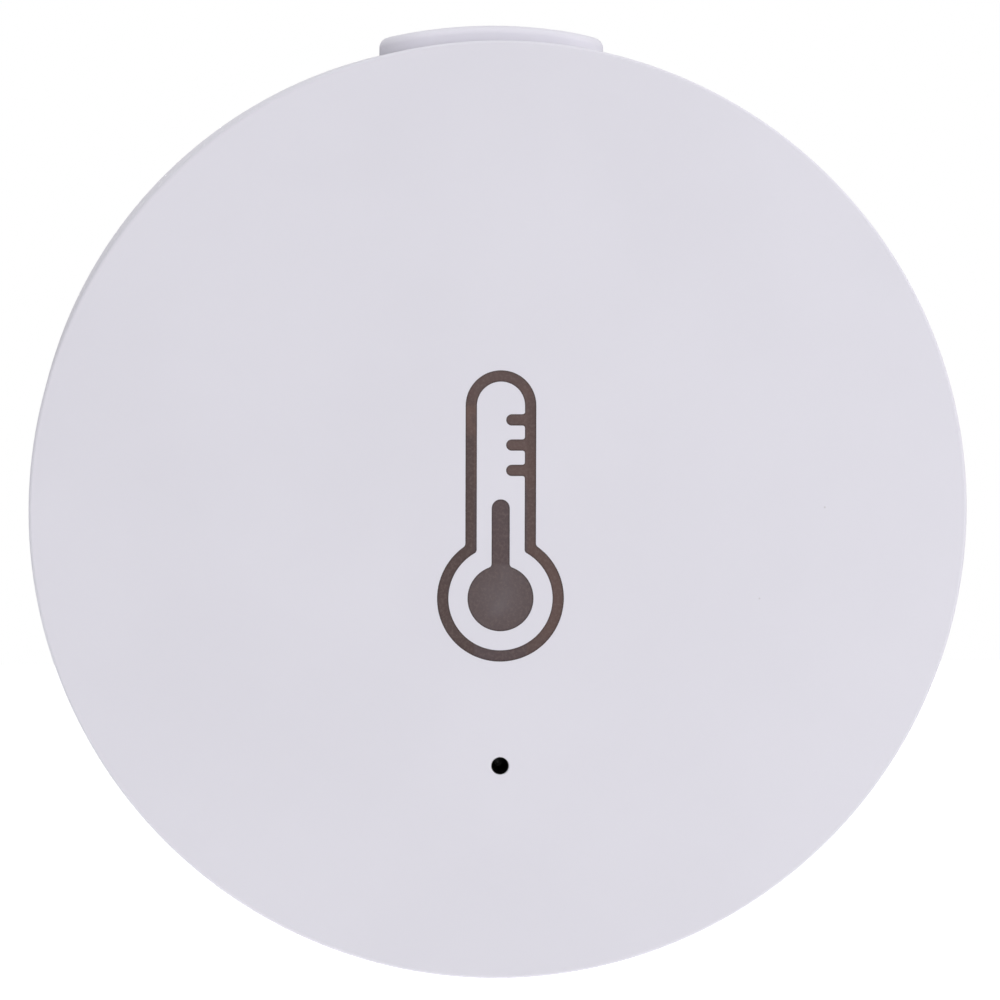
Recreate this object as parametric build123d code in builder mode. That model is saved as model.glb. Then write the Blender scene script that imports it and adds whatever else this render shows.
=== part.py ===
"""Round wireless temperature and humidity sensor, 36 mm across, that sticks to a wall.

Units are millimetres. The wall is the plane Y = 0, the front of the sensor faces -Y and +Z is up.
The origin is the centre of the adhesive ring's wall side. Heights are measured from the wall towards
the front, so a height h is the plane Y = -h, and level(h) is that plane, drawn on as seen from the front.
"""

from build123d import *
from math import asin, degrees, radians, tan
import os

os.makedirs("parts", exist_ok=True)

# ---- coin cell CR2032
cell_radius = 10.0
cell_thickness = 3.2
cell_wall = 0.25
cell_step = 1.1  # from the can's side in to the lid's side
cell_lip_reach = 0.9  # how far the can's edge is rolled in
cell_lip_drop = 0.35  # from the lid's top to the rolled edge
seal_thickness = 0.35
pellet_inset = 0.7  # from the lid's side to what is inside it
cathode_thickness = 1.55
separator_thickness = 0.12

# ---- battery well, and the cover with its bayonet lugs
cell_rib_gap = 0.25
cell_rib_reach = 1.25
cell_rib_width = 1.4
cell_rib_foot = 0.3
cell_rib_count = 4
cell_rib_start = 45.0
well_to_board = 0.2
cover_gap = 0.1  # radial and axial play of the cover
cover_sink = 0.1  # below the casing's back
cover_plate = 1.4
cover_rim = 1.0
cover_turn = 35.0  # degrees from closed to open
lug_reach = 0.8
lug_height = 0.8
lug_sweep = 24.0
lug_count = 3
lug_first = 90.0
lug_play = 1.5  # degrees
groove_wall = 0.5
coin_slot_length = 13.0
coin_slot_width = 1.9
coin_slot_depth = 0.8
cover_mark_radius = 0.45
shell_mark_radius = 0.27
mark_depth = 0.15
cushion_inset = 3.0  # from the cell's edge
cushion_gap = 0.05

# ---- side switch, between the battery well and the button
switch_gap = 0.3  # from the well
switch_length = 4.4
switch_depth = 2.2
switch_height = 1.4
switch_wall = 0.45
plunger_width = 1.4
plunger_depth = 0.7
plunger_reach = 0.5
plunger_head = 0.4
plunger_head_width = 2.8
plunger_gap = 0.05
dome_thickness = 0.08
dome_width = 2.6
frame_thickness = 0.12
terminal_length = 0.6
terminal_width = 0.4
terminal_thickness = 0.15

# ---- push button
button_length = 8.76
button_width = 3.6
button_proud = 0.6
button_round = 0.32
button_gap = 0.15
flange_thickness = 0.5
flange_gap = 0.1
flange_overlap = 0.7
stem_length = 0.18
stem_width = 1.6
stem_depth = 1.0
stem_gap = 0.02

# ---- casing
side_wall = 1.4  # at the back edge
front_wall = 1.2
wall_draft = 0.2  # degrees, narrowing towards the front
rebate_step = 0.5  # step in the wall that the rear shell drops into
rear_plate = 1.5
edge_round = 0.12
fit_gap = 0.05  # between pieces that are pushed together and stay

# ---- adhesive ring and its recess
pad_thickness = 0.8
pad_proud = 0.4  # how far the ring stands out of the casing's back
pad_margin = 0.7  # from the rear shell's edge
pad_land = 0.9  # from the bayonet groove
pad_gap = 0.1

# ---- snap hooks
hook_count = 4
hook_start = 45.0
hook_width = 3.0
hook_thickness = 0.7
hook_reach = 0.35
hook_nose = 0.8
hook_height = 2.4
hook_gap = 0.12

# ---- circuit board and its screws
cover_to_cell = 0.1
cell_to_board = 0.6
board_gap = 0.9  # from the casing's wall
board_thickness = 1.0
board_clearance = 3.0  # from the board to the front wall's inside
board_flat = 0.7  # depth of the flat that makes room for the button
screw_inset = 1.4  # from the board's edge
screw_count = 4
screw_start = 45.0
screw_shank_radius = 0.5
screw_hole_radius = 0.7
screw_head_radius = 1.15
screw_head_height = 0.6
screw_length = 2.4  # in the boss
screw_slot_length = 1.6
screw_slot_width = 0.3
boss_radius = 1.25
thread_gap = 0.02

# ---- indicator light
light_hole_radius = 0.338
light_hole_depth = 0.55
light_to_fence = 0.595  # from the guide's socket down to the foam fence
guide_radius = 0.7
guide_socket_wall = 0.55
guide_socket_height = 1.5
guide_gap = 0.02
led_length = 1.6
led_width = 0.8
led_height = 0.6

# ---- air slots, mesh, and the sensor in its foam fence
vent_count = 5
vent_pitch = 1.3
vent_width = 0.7
vent_length = 2.2
vent_to_front = 1.6  # from the front wall's inside to the middle of the slots
mesh_thickness = 0.12
mesh_margin = 0.4
sensor_size = 2.5
sensor_height = 0.9
sensor_port_radius = 0.5
sensor_inset = 1.75  # from the board's edge to the sensor's middle
sensor_gap = 0.3  # from the fence to the sensor
fence_inside = 7.0
fence_wall = 0.8
isolation_slot = 0.8
isolation_gap = 0.4

# ---- pictogram
print_thickness = 0.06
print_sink = 0.03
stroke = 0.435
bulb_ring_radius = 2.43
bulb_below_centre = 3.29
tube_half_width = 1.352
tube_top = 5.435
mercury_width = 0.695
mercury_top = 0.505
mercury_bulb_radius = 1.265
mercury_neck_round = 0.15
tick_heights = (3.54, 2.58, 1.61)
tick_start = 0.2

# ---- small parts on the board, across and up from its centre
copper_thickness = 0.05
radio_place = (0.5, 2.0)
radio_size = 6.0
radio_height = 0.85
memory_place = (-6.6, 5.6)
memory_length = 3.0
memory_width = 2.0
memory_height = 0.6
fast_crystal_place = (6.6, 2.6)
fast_crystal_length = 3.2
fast_crystal_width = 2.5
slow_crystal_place = (0.5, -4.6)
slow_crystal_length = 3.2
slow_crystal_width = 1.5
crystal_height = 0.7
capacitor_length = 1.0
capacitor_width = 0.55
capacitor_height = 0.5
capacitor_pitch = 1.7
capacitor_rows_apart = 9.0
capacitor_columns = 4
resistor_place = (-6.4, -3.4)
resistor_length = 1.0
resistor_width = 0.55
resistor_height = 0.35
resistor_pitch = 1.3
resistor_count = 5
test_pad_place = (7.4, -4.6)
test_pad_pitch = 1.8
test_pad_radius = 0.5
antenna_inset = 3.1  # from the board's edge to the middle of the track
antenna_turns = 5
antenna_pitch = 1.1
antenna_reach = 2.6
antenna_track = 0.4

# ---- contacts of the cell
contact_thickness = 0.15
contact_width = 3.0
contact_lean = 1.0  # how far the side spring leans in to the cell
contact_gap = 0.01
finger_width = 1.6
finger_count = 3
finger_plate_radius = 3.0
finger_overlap = 1.0  # of a finger on its plate
finger_inset = 2.9  # from the lid's edge to where a finger touches it
finger_tip = 1.0
finger_tip_lift = 0.2


# ---- radii that follow, from the cell outwards
cell_lid_radius = cell_radius - cell_step
pellet_radius = cell_lid_radius - pellet_inset
rib_inner = cell_radius + cell_rib_gap
well_radius = rib_inner + cell_rib_reach
cover_radius = well_radius - cover_gap
lug_radius = cover_radius + lug_reach
groove_radius = lug_radius + cover_gap
well_outer_radius = groove_radius + groove_wall
switch_back = well_outer_radius + switch_gap
switch_front = switch_back + switch_depth
plunger_tip = switch_front + plunger_reach
stem_foot = plunger_tip + stem_gap
flange_inner = stem_foot + stem_length
flange_outer = flange_inner + flange_thickness
cavity_radius = flange_outer + flange_gap
rebate_radius = cavity_radius + rebate_step
back_radius = cavity_radius + side_wall
button_radius = back_radius + button_proud
pad_inner_radius = groove_radius + pad_land
pad_outer_radius = rebate_radius - pad_margin
board_radius = cavity_radius - board_gap
screw_circle = board_radius - screw_inset
hook_outer = cavity_radius - hook_gap
sensor_below_centre = board_radius - sensor_inset
fence_top = sensor_below_centre - sensor_size / 2 - sensor_gap - fence_wall
guide_socket_radius = guide_radius + guide_gap + guide_socket_wall
light_below_centre = fence_top - light_to_fence - guide_socket_radius

# ---- heights that follow, from the wall towards the front
back_height = pad_proud
recess_height = pad_thickness
plate_top = back_height + rear_plate
cover_base = back_height + cover_sink
cover_top = cover_base + cover_plate
lug_base = plate_top + cover_gap
lug_top = lug_base + lug_height
groove_top = lug_top + cover_gap
cell_base = lug_top + cover_to_cell
cell_top = cell_base + cell_thickness
board_rear = cell_top + cell_to_board
board_front = board_rear + board_thickness
ceiling_height = board_front + board_clearance
front_height = ceiling_height + front_wall
switch_middle = board_rear - switch_height / 2
vent_height = ceiling_height - vent_to_front
front_radius = back_radius - (front_height - back_height) * tan(radians(wall_draft))


def level(height):
    """The plane at this height above the wall, facing the front."""
    return Plane.XZ.offset(height)


def disc(radius, low, high, centre=(0, 0), mode=Mode.ADD):
    """A disc between two heights, added to or cut from the piece being built."""
    with BuildSketch(level(low)) as outline:
        with Locations(centre):
            Circle(radius)
    extrude(outline.sketch, amount=high - low, mode=mode)


def ring(inner, outer, low, high, centre=(0, 0), mode=Mode.ADD):
    """A ring between two heights."""
    with BuildSketch(level(low)) as outline:
        with Locations(centre):
            Circle(outer)
            Circle(inner, mode=Mode.SUBTRACT)
    extrude(outline.sketch, amount=high - low, mode=mode)


def arc_block(inner, outer, middle, sweep, low, high, mode=Mode.ADD):
    """A piece of a ring about the body's axis, with its middle at an angle from +X towards +Z."""
    with BuildSketch(level(low)) as outline:
        with BuildLine():
            far = CenterArc((0, 0), outer, middle - sweep / 2, sweep)
            near = CenterArc((0, 0), inner, middle - sweep / 2, sweep)
            Line(far @ 0, near @ 0)
            Line(far @ 1, near @ 1)
        make_face()
    extrude(outline.sketch, amount=high - low, mode=mode)


def block(centre, size, low, high, mode=Mode.ADD):
    """A block with its middle at centre (across, up), between two heights."""
    with BuildSketch(level(low)) as outline:
        with Locations(centre):
            Rectangle(*size)
    extrude(outline.sketch, amount=high - low, mode=mode)


def screw_circles(radius, low, high, mode=Mode.ADD):
    """One disc at each board screw."""
    with BuildSketch(level(low)) as outline:
        with PolarLocations(screw_circle, screw_count, screw_start):
            Circle(radius)
    extrude(outline.sketch, amount=high - low, mode=mode)


def button_slot(gap, low, high, mode=Mode.ADD):
    """The button's pill outline, drawn from above and raised between two heights over the body's axis."""
    with BuildSketch(Plane.XY.offset(low)) as outline:
        with Locations((0, -switch_middle)):
            SlotOverall(button_length + 2 * gap, button_width + 2 * gap)
    extrude(outline.sketch, amount=high - low, mode=mode)


def hook_noses(gap, mode=Mode.ADD):
    """The noses of the rear shell's snap hooks, or with a gap the pockets that they catch in."""
    top = plate_top + hook_height
    outer = hook_outer + hook_reach
    sweep = degrees((hook_width + 2 * gap) / outer)
    for index in range(hook_count):
        middle = hook_start + index * 360 / hook_count
        arc_block(hook_outer - hook_thickness, outer + gap, middle, sweep, top - hook_nose - gap, top + gap, mode)


def thermometer(height):
    """The pictogram: a tube that opens into a ring, three ticks, and the liquid in its bulb and column."""
    cap_centre = tube_top - tube_half_width
    with BuildSketch(level(height)) as outline:
        for grow, mode in ((0, Mode.ADD), (-stroke, Mode.SUBTRACT)):
            with Locations((0, -bulb_below_centre)):
                Circle(bulb_ring_radius + grow, mode=mode)
            with Locations((0, cap_centre)):
                Circle(tube_half_width + grow, mode=mode)
            with Locations((0, (cap_centre - bulb_below_centre) / 2)):
                Rectangle(2 * (tube_half_width + grow), cap_centre + bulb_below_centre, mode=mode)
        tick_end = tube_half_width - stroke / 2
        with Locations(*[((tick_start + tick_end) / 2, up) for up in tick_heights]):
            SlotOverall(tick_end - tick_start, stroke)
    with BuildSketch(level(height)) as liquid:
        with Locations((0, -bulb_below_centre)):
            Circle(mercury_bulb_radius)
        with Locations((0, (mercury_top - bulb_below_centre) / 2)):
            SlotOverall(mercury_top + bulb_below_centre, mercury_width, rotation=90)
        neck = liquid.vertices().group_by(Axis.Y)[-2]
        fillet(neck, radius=mercury_neck_round)
    return outline.sketch.faces() + liquid.sketch.faces()


# ---- front shell: drafted cup with the face, the rim and all that is moulded on its inside
with BuildPart() as front_shell:
    with BuildSketch(Plane.XY):
        with BuildLine():
            Polyline(
                (0, -front_height),
                (front_radius, -front_height),
                (back_radius, -back_height),
                (rebate_radius, -back_height),
                (rebate_radius, -plate_top),
                (cavity_radius, -plate_top),
                (cavity_radius, -ceiling_height),
                (0, -ceiling_height),
                close=True,
            )
        make_face()
    revolve(axis=Axis.Y)
    fillet(front_shell.edges().group_by(Axis.Y)[0], radius=edge_round)
    screw_circles(boss_radius, board_front, ceiling_height)
    screw_circles(
        screw_shank_radius + thread_gap,
        board_front,
        board_front + screw_length + thread_gap,
        mode=Mode.SUBTRACT,
    )
    light_centre = (0, -light_below_centre)
    disc(guide_socket_radius, ceiling_height - guide_socket_height, ceiling_height, light_centre)
    disc(
        guide_radius + guide_gap,
        ceiling_height - guide_socket_height,
        ceiling_height,
        light_centre,
        mode=Mode.SUBTRACT,
    )
    disc(light_hole_radius, ceiling_height, front_height, light_centre, mode=Mode.SUBTRACT)
    button_slot(button_gap, flange_inner, button_radius, mode=Mode.SUBTRACT)
    hook_noses(fit_gap, mode=Mode.SUBTRACT)
    with BuildSketch(Plane.XY.offset(-back_radius)):
        with Locations((0, -vent_height)):
            with GridLocations(vent_pitch, 1, vent_count, 1):
                SlotOverall(vent_length, vent_width, rotation=90)
    extrude(amount=back_radius - board_radius, mode=Mode.SUBTRACT)
    recess = print_thickness + print_sink
    extrude(thermometer(front_height - recess), amount=recess, mode=Mode.SUBTRACT)
front_shell.part.label = "front_shell"
export_step(front_shell.part, "parts/front_shell.step")

# ---- pictogram: a thin foil pressed a little way into the face
with BuildPart() as thermometer_print:
    extrude(thermometer(front_height - print_sink - print_thickness), amount=print_thickness)
thermometer_print.part.label = "thermometer_print"
export_step(thermometer_print.part, "parts/thermometer_print.step")

# ---- light guide: a clear stepped pin from the indicator light to the hole in the face
with BuildPart() as light_guide:
    guide_base = board_front + led_height + guide_gap
    disc(guide_radius, guide_base, ceiling_height, light_centre)
    disc(light_hole_radius - guide_gap, ceiling_height, front_height - light_hole_depth, light_centre)
light_guide.part.label = "light_guide"
export_step(light_guide.part, "parts/light_guide.step")

# ---- dust mesh: glued to the inside of the wall over the air slots
fence_outside = fence_inside / 2 + fence_wall
with BuildPart() as dust_mesh:
    mesh_half = vent_length / 2 + mesh_margin
    mesh_sweep = 2 * degrees(asin(fence_outside / cavity_radius))
    mesh_inner = cavity_radius - mesh_thickness
    arc_block(mesh_inner, cavity_radius, 270, mesh_sweep, vent_height - mesh_half, vent_height + mesh_half)
dust_mesh.part.label = "dust_mesh"
export_step(dust_mesh.part, "parts/dust_mesh.step")

# ---- sensor gasket: foam fence that joins the sensor's corner to the air slots only
with BuildPart() as sensor_gasket:
    fence_reach = cavity_radius - fence_top
    fence_middle = -(cavity_radius + fence_top) / 2
    block((0, fence_middle), (2 * fence_outside, fence_reach), board_front, ceiling_height)
    inner_middle = fence_middle - fence_wall
    block((0, inner_middle), (fence_inside, fence_reach), board_front, ceiling_height, Mode.SUBTRACT)
    disc(mesh_inner, board_front, ceiling_height, mode=Mode.INTERSECT)
sensor_gasket.part.label = "sensor_gasket"
export_step(sensor_gasket.part, "parts/sensor_gasket.step")

# ---- circuit board
with BuildPart() as circuit_board:
    disc(board_radius, board_rear, board_front)
    cut_centre = (0, board_radius - board_flat / 2)
    block(cut_centre, (2 * board_radius, board_flat), board_rear, board_front, Mode.SUBTRACT)
    screw_circles(screw_hole_radius, board_rear, board_front, mode=Mode.SUBTRACT)
    slot_up = -(fence_top - isolation_gap - isolation_slot / 2)
    slot_across = fence_outside + isolation_gap + isolation_slot / 2
    slot_down = -sensor_below_centre
    with BuildSketch(level(board_rear)):
        with Locations((0, slot_up)):
            SlotCenterToCenter(2 * slot_across, isolation_slot)
        with Locations(*[(side * slot_across, (slot_up + slot_down) / 2) for side in (-1, 1)]):
            SlotCenterToCenter(slot_up - slot_down, isolation_slot, rotation=90)
    extrude(amount=board_thickness, mode=Mode.SUBTRACT)
circuit_board.part.label = "circuit_board"
export_step(circuit_board.part, "parts/circuit_board.step")

# ---- humidity sensor with its air port
with BuildPart() as humidity_sensor:
    sensor_centre = (0, -sensor_below_centre)
    sensor_top = board_front + sensor_height
    block(sensor_centre, (sensor_size, sensor_size), board_front, sensor_top)
    disc(sensor_port_radius, sensor_top - sensor_port_radius, sensor_top, sensor_centre, Mode.SUBTRACT)
humidity_sensor.part.label = "humidity_sensor"
export_step(humidity_sensor.part, "parts/humidity_sensor.step")

# ---- radio chip
with BuildPart() as radio_chip:
    block(radio_place, (radio_size, radio_size), board_front, board_front + radio_height)
radio_chip.part.label = "radio_chip"
export_step(radio_chip.part, "parts/radio_chip.step")

# ---- memory chip
with BuildPart() as memory_chip:
    block(memory_place, (memory_length, memory_width), board_front, board_front + memory_height)
memory_chip.part.label = "memory_chip"
export_step(memory_chip.part, "parts/memory_chip.step")

# ---- crystals: the radio's clock and the slow clock
with BuildPart() as crystals:
    crystal_top = board_front + crystal_height
    block(fast_crystal_place, (fast_crystal_length, fast_crystal_width), board_front, crystal_top)
    block(slow_crystal_place, (slow_crystal_length, slow_crystal_width), board_front, crystal_top)
crystals.part.label = "crystals"
export_step(crystals.part, "parts/crystals.step")

# ---- capacitors: a row above and a row below the radio chip
with BuildPart() as capacitors:
    with BuildSketch(level(board_front)):
        with Locations(radio_place):
            with GridLocations(capacitor_pitch, capacitor_rows_apart, capacitor_columns, 2):
                Rectangle(capacitor_length, capacitor_width)
    extrude(amount=capacitor_height)
capacitors.part.label = "capacitors"
export_step(capacitors.part, "parts/capacitors.step")

# ---- resistors: one row
with BuildPart() as resistors:
    with BuildSketch(level(board_front)):
        with Locations(resistor_place):
            with GridLocations(resistor_pitch, 1, resistor_count, 1):
                Rectangle(resistor_width, resistor_length)
    extrude(amount=resistor_height)
resistors.part.label = "resistors"
export_step(resistors.part, "parts/resistors.step")

# ---- status light
with BuildPart() as status_led:
    block(light_centre, (led_length, led_width), board_front, board_front + led_height)
status_led.part.label = "status_led"
export_step(status_led.part, "parts/status_led.step")

# ---- antenna: a copper track that folds back and forth
with BuildPart() as antenna:
    with BuildSketch(level(board_front)):
        with BuildLine():
            corners = []
            for turn in range(antenna_turns + 1):
                across = antenna_inset - board_radius + antenna_reach / 2 * (-1) ** turn
                up = antenna_pitch * (2 * turn - antenna_turns)
                corners += [(across, up - antenna_pitch), (across, up + antenna_pitch)]
            Polyline(*corners)
        trace(line_width=antenna_track)
    extrude(amount=copper_thickness)
antenna.part.label = "antenna"
export_step(antenna.part, "parts/antenna.step")

# ---- test pads
with BuildPart() as test_pads:
    with BuildSketch(level(board_front)):
        with Locations(test_pad_place):
            with GridLocations(test_pad_pitch, test_pad_pitch, 3, 2):
                Circle(test_pad_radius)
    extrude(amount=copper_thickness)
test_pads.part.label = "test_pads"
export_step(test_pads.part, "parts/test_pads.step")

# ---- board screws, driven from the rear into the front shell's bosses
with BuildPart() as board_screws:
    screw_circles(screw_head_radius, board_rear - screw_head_height, board_rear)
    screw_circles(screw_shank_radius, board_rear, board_front + screw_length)
    with BuildSketch(level(board_rear - screw_head_height)):
        with PolarLocations(screw_circle, screw_count, screw_start):
            Rectangle(screw_slot_length, screw_slot_width)
            Rectangle(screw_slot_width, screw_slot_length)
    extrude(amount=screw_slot_width, mode=Mode.SUBTRACT)
board_screws.part.label = "board_screws"
export_step(board_screws.part, "parts/board_screws.step")

# ---- switch housing: a box with a room for the spring and a hole for the plunger
housing_base = board_rear - switch_height
room_back = switch_back + switch_wall
room_front = switch_front - switch_wall
room_half = plunger_depth / 2 + plunger_gap
with BuildPart() as switch_housing:
    switch_centre = (0, (switch_back + switch_front) / 2)
    block(switch_centre, (switch_length, switch_depth), housing_base, board_rear)
    block(
        switch_centre,
        (switch_length - 2 * switch_wall, room_front - room_back),
        switch_middle - room_half,
        switch_middle + room_half,
        Mode.SUBTRACT,
    )
    block(
        (0, switch_front - switch_wall / 2),
        (plunger_width + 2 * plunger_gap, switch_wall),
        switch_middle - room_half,
        switch_middle + room_half,
        Mode.SUBTRACT,
    )
switch_housing.part.label = "switch_housing"
export_step(switch_housing.part, "parts/switch_housing.step")

# ---- switch plunger: a wide head kept inside, and a nose for the button's stem
head_top = room_front - plunger_gap
head_base = head_top - plunger_head
with BuildPart() as switch_plunger:
    low = switch_middle - plunger_depth / 2
    high = switch_middle + plunger_depth / 2
    block((0, (head_base + head_top) / 2), (plunger_head_width, plunger_head), low, high)
    block((0, (head_top + plunger_tip) / 2), (plunger_width, plunger_tip - head_top), low, high)
switch_plunger.part.label = "switch_plunger"
export_step(switch_plunger.part, "parts/switch_plunger.step")

# ---- switch dome: a bowed strip under the plunger
with BuildPart() as switch_dome:
    half = dome_width / 2
    with BuildSketch(level(switch_middle - plunger_depth / 2)):
        with BuildLine():
            outer = ThreePointArc((-half, room_back + dome_thickness), (0, head_base), (half, room_back + dome_thickness))
            inner = ThreePointArc((-half, room_back), (0, head_base - dome_thickness), (half, room_back))
            Line(outer @ 0, inner @ 0)
            Line(outer @ 1, inner @ 1)
        make_face()
    extrude(amount=plunger_depth)
switch_dome.part.label = "switch_dome"
export_step(switch_dome.part, "parts/switch_dome.step")

# ---- switch frame: steel plate over the housing with a tab down each side
with BuildPart() as switch_frame:
    frame_base = housing_base - frame_thickness
    frame_length = switch_length + 2 * frame_thickness
    block(switch_centre, (frame_length, switch_depth), frame_base, housing_base)
    for side in (-1, 1):
        tab_centre = (side * (switch_length + frame_thickness) / 2, switch_centre[1])
        block(tab_centre, (frame_thickness, terminal_width), frame_base, board_rear)
switch_frame.part.label = "switch_frame"
export_step(switch_frame.part, "parts/switch_frame.step")

# ---- switch terminals: two feet each side, soldered to the board
with BuildPart() as switch_terminals:
    feet_pitch = (switch_length + terminal_length, switch_depth - 2 * terminal_width)
    with BuildSketch(level(board_rear - terminal_thickness)):
        with Locations(switch_centre):
            with GridLocations(*feet_pitch, 2, 2):
                Rectangle(terminal_length, terminal_width)
    extrude(amount=terminal_thickness)
switch_terminals.part.label = "switch_terminals"
export_step(switch_terminals.part, "parts/switch_terminals.step")

# ---- push button: a pill through the wall, a flange that keeps it in and a stem on the plunger
with BuildPart() as button_key:
    button_slot(0, plunger_tip, button_radius)
    disc(button_radius, 0, front_height, mode=Mode.INTERSECT)
    fillet(button_key.faces().sort_by(Axis.Z)[-1].edges(), radius=button_round)
    disc(flange_inner, 0, front_height, mode=Mode.SUBTRACT)
    flange_half = button_width / 2 + button_gap + flange_overlap
    flange_reach = button_length / 2 + button_gap + flange_overlap
    arc_block(
        flange_inner,
        flange_outer,
        90,
        2 * degrees(asin(flange_reach / flange_outer)),
        switch_middle - flange_half,
        switch_middle + flange_half,
    )
    block(
        (0, (stem_foot + flange_outer) / 2),
        (stem_width, flange_outer - stem_foot),
        switch_middle - stem_depth / 2,
        switch_middle + stem_depth / 2,
    )
button_key.part.label = "button_key"
export_step(button_key.part, "parts/button_key.step")

# ---- coin cell: can, seal, lid and what is inside them
lip_height = cell_top - cell_lip_drop
lip_radius = cell_radius - cell_lip_reach
cell_floor = cell_base + cell_wall
cathode_top = cell_floor + cathode_thickness
separator_top = cathode_top + separator_thickness
lid_foot = cell_floor + seal_thickness
with BuildPart() as cell_can:
    with BuildSketch(Plane.XY):
        with BuildLine():
            Polyline(
                (0, -cell_base),
                (cell_radius, -cell_base),
                (cell_radius, -lip_height),
                (lip_radius, -lip_height),
                (lip_radius, -(lip_height - cell_wall)),
                (cell_radius - cell_wall, -(lip_height - cell_wall)),
                (cell_radius - cell_wall, -(cell_base + cell_wall)),
                (0, -(cell_base + cell_wall)),
                close=True,
            )
        make_face()
    revolve(axis=Axis.Y)
cell_can.part.label = "cell_can"
export_step(cell_can.part, "parts/cell_can.step")

with BuildPart() as cell_cap:
    disc(cell_lid_radius, lid_foot, cell_top)
    disc(cell_lid_radius - cell_wall, lid_foot, cell_top - cell_wall, mode=Mode.SUBTRACT)
cell_cap.part.label = "cell_cap"
export_step(cell_cap.part, "parts/cell_cap.step")

with BuildPart() as cell_gasket:
    seal_inner = cell_lid_radius + fit_gap
    seal_outer = cell_radius - cell_wall - fit_gap
    ring(cell_lid_radius - 2 * cell_wall, seal_outer, cell_floor, lid_foot)
    ring(seal_inner, seal_outer, lid_foot, lip_height - cell_wall)
    ring(seal_inner, lip_radius, lip_height - cell_wall, lip_height)
cell_gasket.part.label = "cell_gasket"
export_step(cell_gasket.part, "parts/cell_gasket.step")

with BuildPart() as cell_cathode:
    disc(pellet_radius, cell_floor, cathode_top)
cell_cathode.part.label = "cell_cathode"
export_step(cell_cathode.part, "parts/cell_cathode.step")

with BuildPart() as cell_separator:
    disc(pellet_radius, cathode_top, separator_top)
cell_separator.part.label = "cell_separator"
export_step(cell_separator.part, "parts/cell_separator.step")

with BuildPart() as cell_anode:
    disc(pellet_radius, separator_top, cell_top - cell_wall)
cell_anode.part.label = "cell_anode"
export_step(cell_anode.part, "parts/cell_anode.step")

# ---- negative contact: a plate on the board with sprung fingers on the cell's lid
with BuildPart() as negative_contact:
    disc(finger_plate_radius, board_rear - contact_thickness, board_rear)
    plate_middle = board_rear - contact_thickness / 2
    finger_touch = cell_lid_radius - finger_inset
    finger_low = cell_top + contact_thickness / 2 + contact_gap
    for index in range(finger_count):
        with BuildSketch(Plane.XY.rotated((0, 90 + index * 360 / finger_count, 0))):
            with BuildLine():
                Polyline(
                    (finger_plate_radius - finger_overlap, -plate_middle),
                    (finger_plate_radius, -plate_middle),
                    (finger_touch, -finger_low),
                    (finger_touch + finger_tip, -(finger_low + finger_tip_lift)),
                )
            trace(line_width=contact_thickness)
        extrude(amount=finger_width / 2, both=True)
negative_contact.part.label = "negative_contact"
export_step(negative_contact.part, "parts/negative_contact.step")

# ---- positive contact: a bent strip on the board that leans on the side of the cell
with BuildPart() as positive_contact:
    touch = cell_radius + contact_thickness / 2 + contact_gap
    back = touch + contact_lean
    with BuildSketch(Plane.XY):
        with BuildLine():
            Polyline(
                (-touch, -plate_middle),
                (-back, -plate_middle),
                (-back, -lip_height),
                (-touch, -(cell_base + cell_thickness / 2)),
                (-(touch + contact_lean / 2), -lid_foot),
            )
        trace(line_width=contact_thickness)
    extrude(amount=contact_width / 2, both=True)
positive_contact.part.label = "positive_contact"
export_step(positive_contact.part, "parts/positive_contact.step")

# ---- rear shell: back plate, battery well with the bayonet groove, cell ribs and snap hooks
with BuildPart() as rear_shell:
    ring(well_radius, rebate_radius - fit_gap, back_height, plate_top)
    ring(well_radius, well_outer_radius, back_height, board_rear - well_to_board)
    ring(
        pad_inner_radius - pad_gap,
        pad_outer_radius + pad_gap,
        back_height,
        recess_height,
        mode=Mode.SUBTRACT,
    )
    rib_sweep = degrees(cell_rib_width / well_radius)
    for index in range(cell_rib_count):
        middle = cell_rib_start + index * 360 / cell_rib_count
        arc_block(rib_inner, well_radius + cover_gap, middle, rib_sweep, groove_top + cell_rib_foot, cell_top)
    for index in range(lug_count):
        closed = lug_first + index * 360 / lug_count
        entry = closed - cover_turn
        play = lug_sweep + 2 * lug_play
        arc_block(rib_inner, groove_radius, entry, play, back_height, groove_top, Mode.SUBTRACT)
        groove_sweep = play + cover_turn
        groove_middle = (closed + entry) / 2
        arc_block(rib_inner, groove_radius, groove_middle, groove_sweep, plate_top, groove_top, Mode.SUBTRACT)
    for index in range(hook_count):
        middle = hook_start + index * 360 / hook_count
        hook_sweep = degrees(hook_width / hook_outer)
        arc_block(hook_outer - hook_thickness, hook_outer, middle, hook_sweep, plate_top, plate_top + hook_height)
    hook_noses(0)
    mark_circle = (groove_radius + pad_inner_radius - pad_gap) / 2
    for angle in (lug_first, lug_first - cover_turn):
        with BuildSketch(level(back_height)):
            with PolarLocations(mark_circle, 1, angle):
                Circle(shell_mark_radius)
        extrude(amount=mark_depth, mode=Mode.SUBTRACT)
rear_shell.part.label = "rear_shell"
export_step(rear_shell.part, "parts/rear_shell.step")

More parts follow.
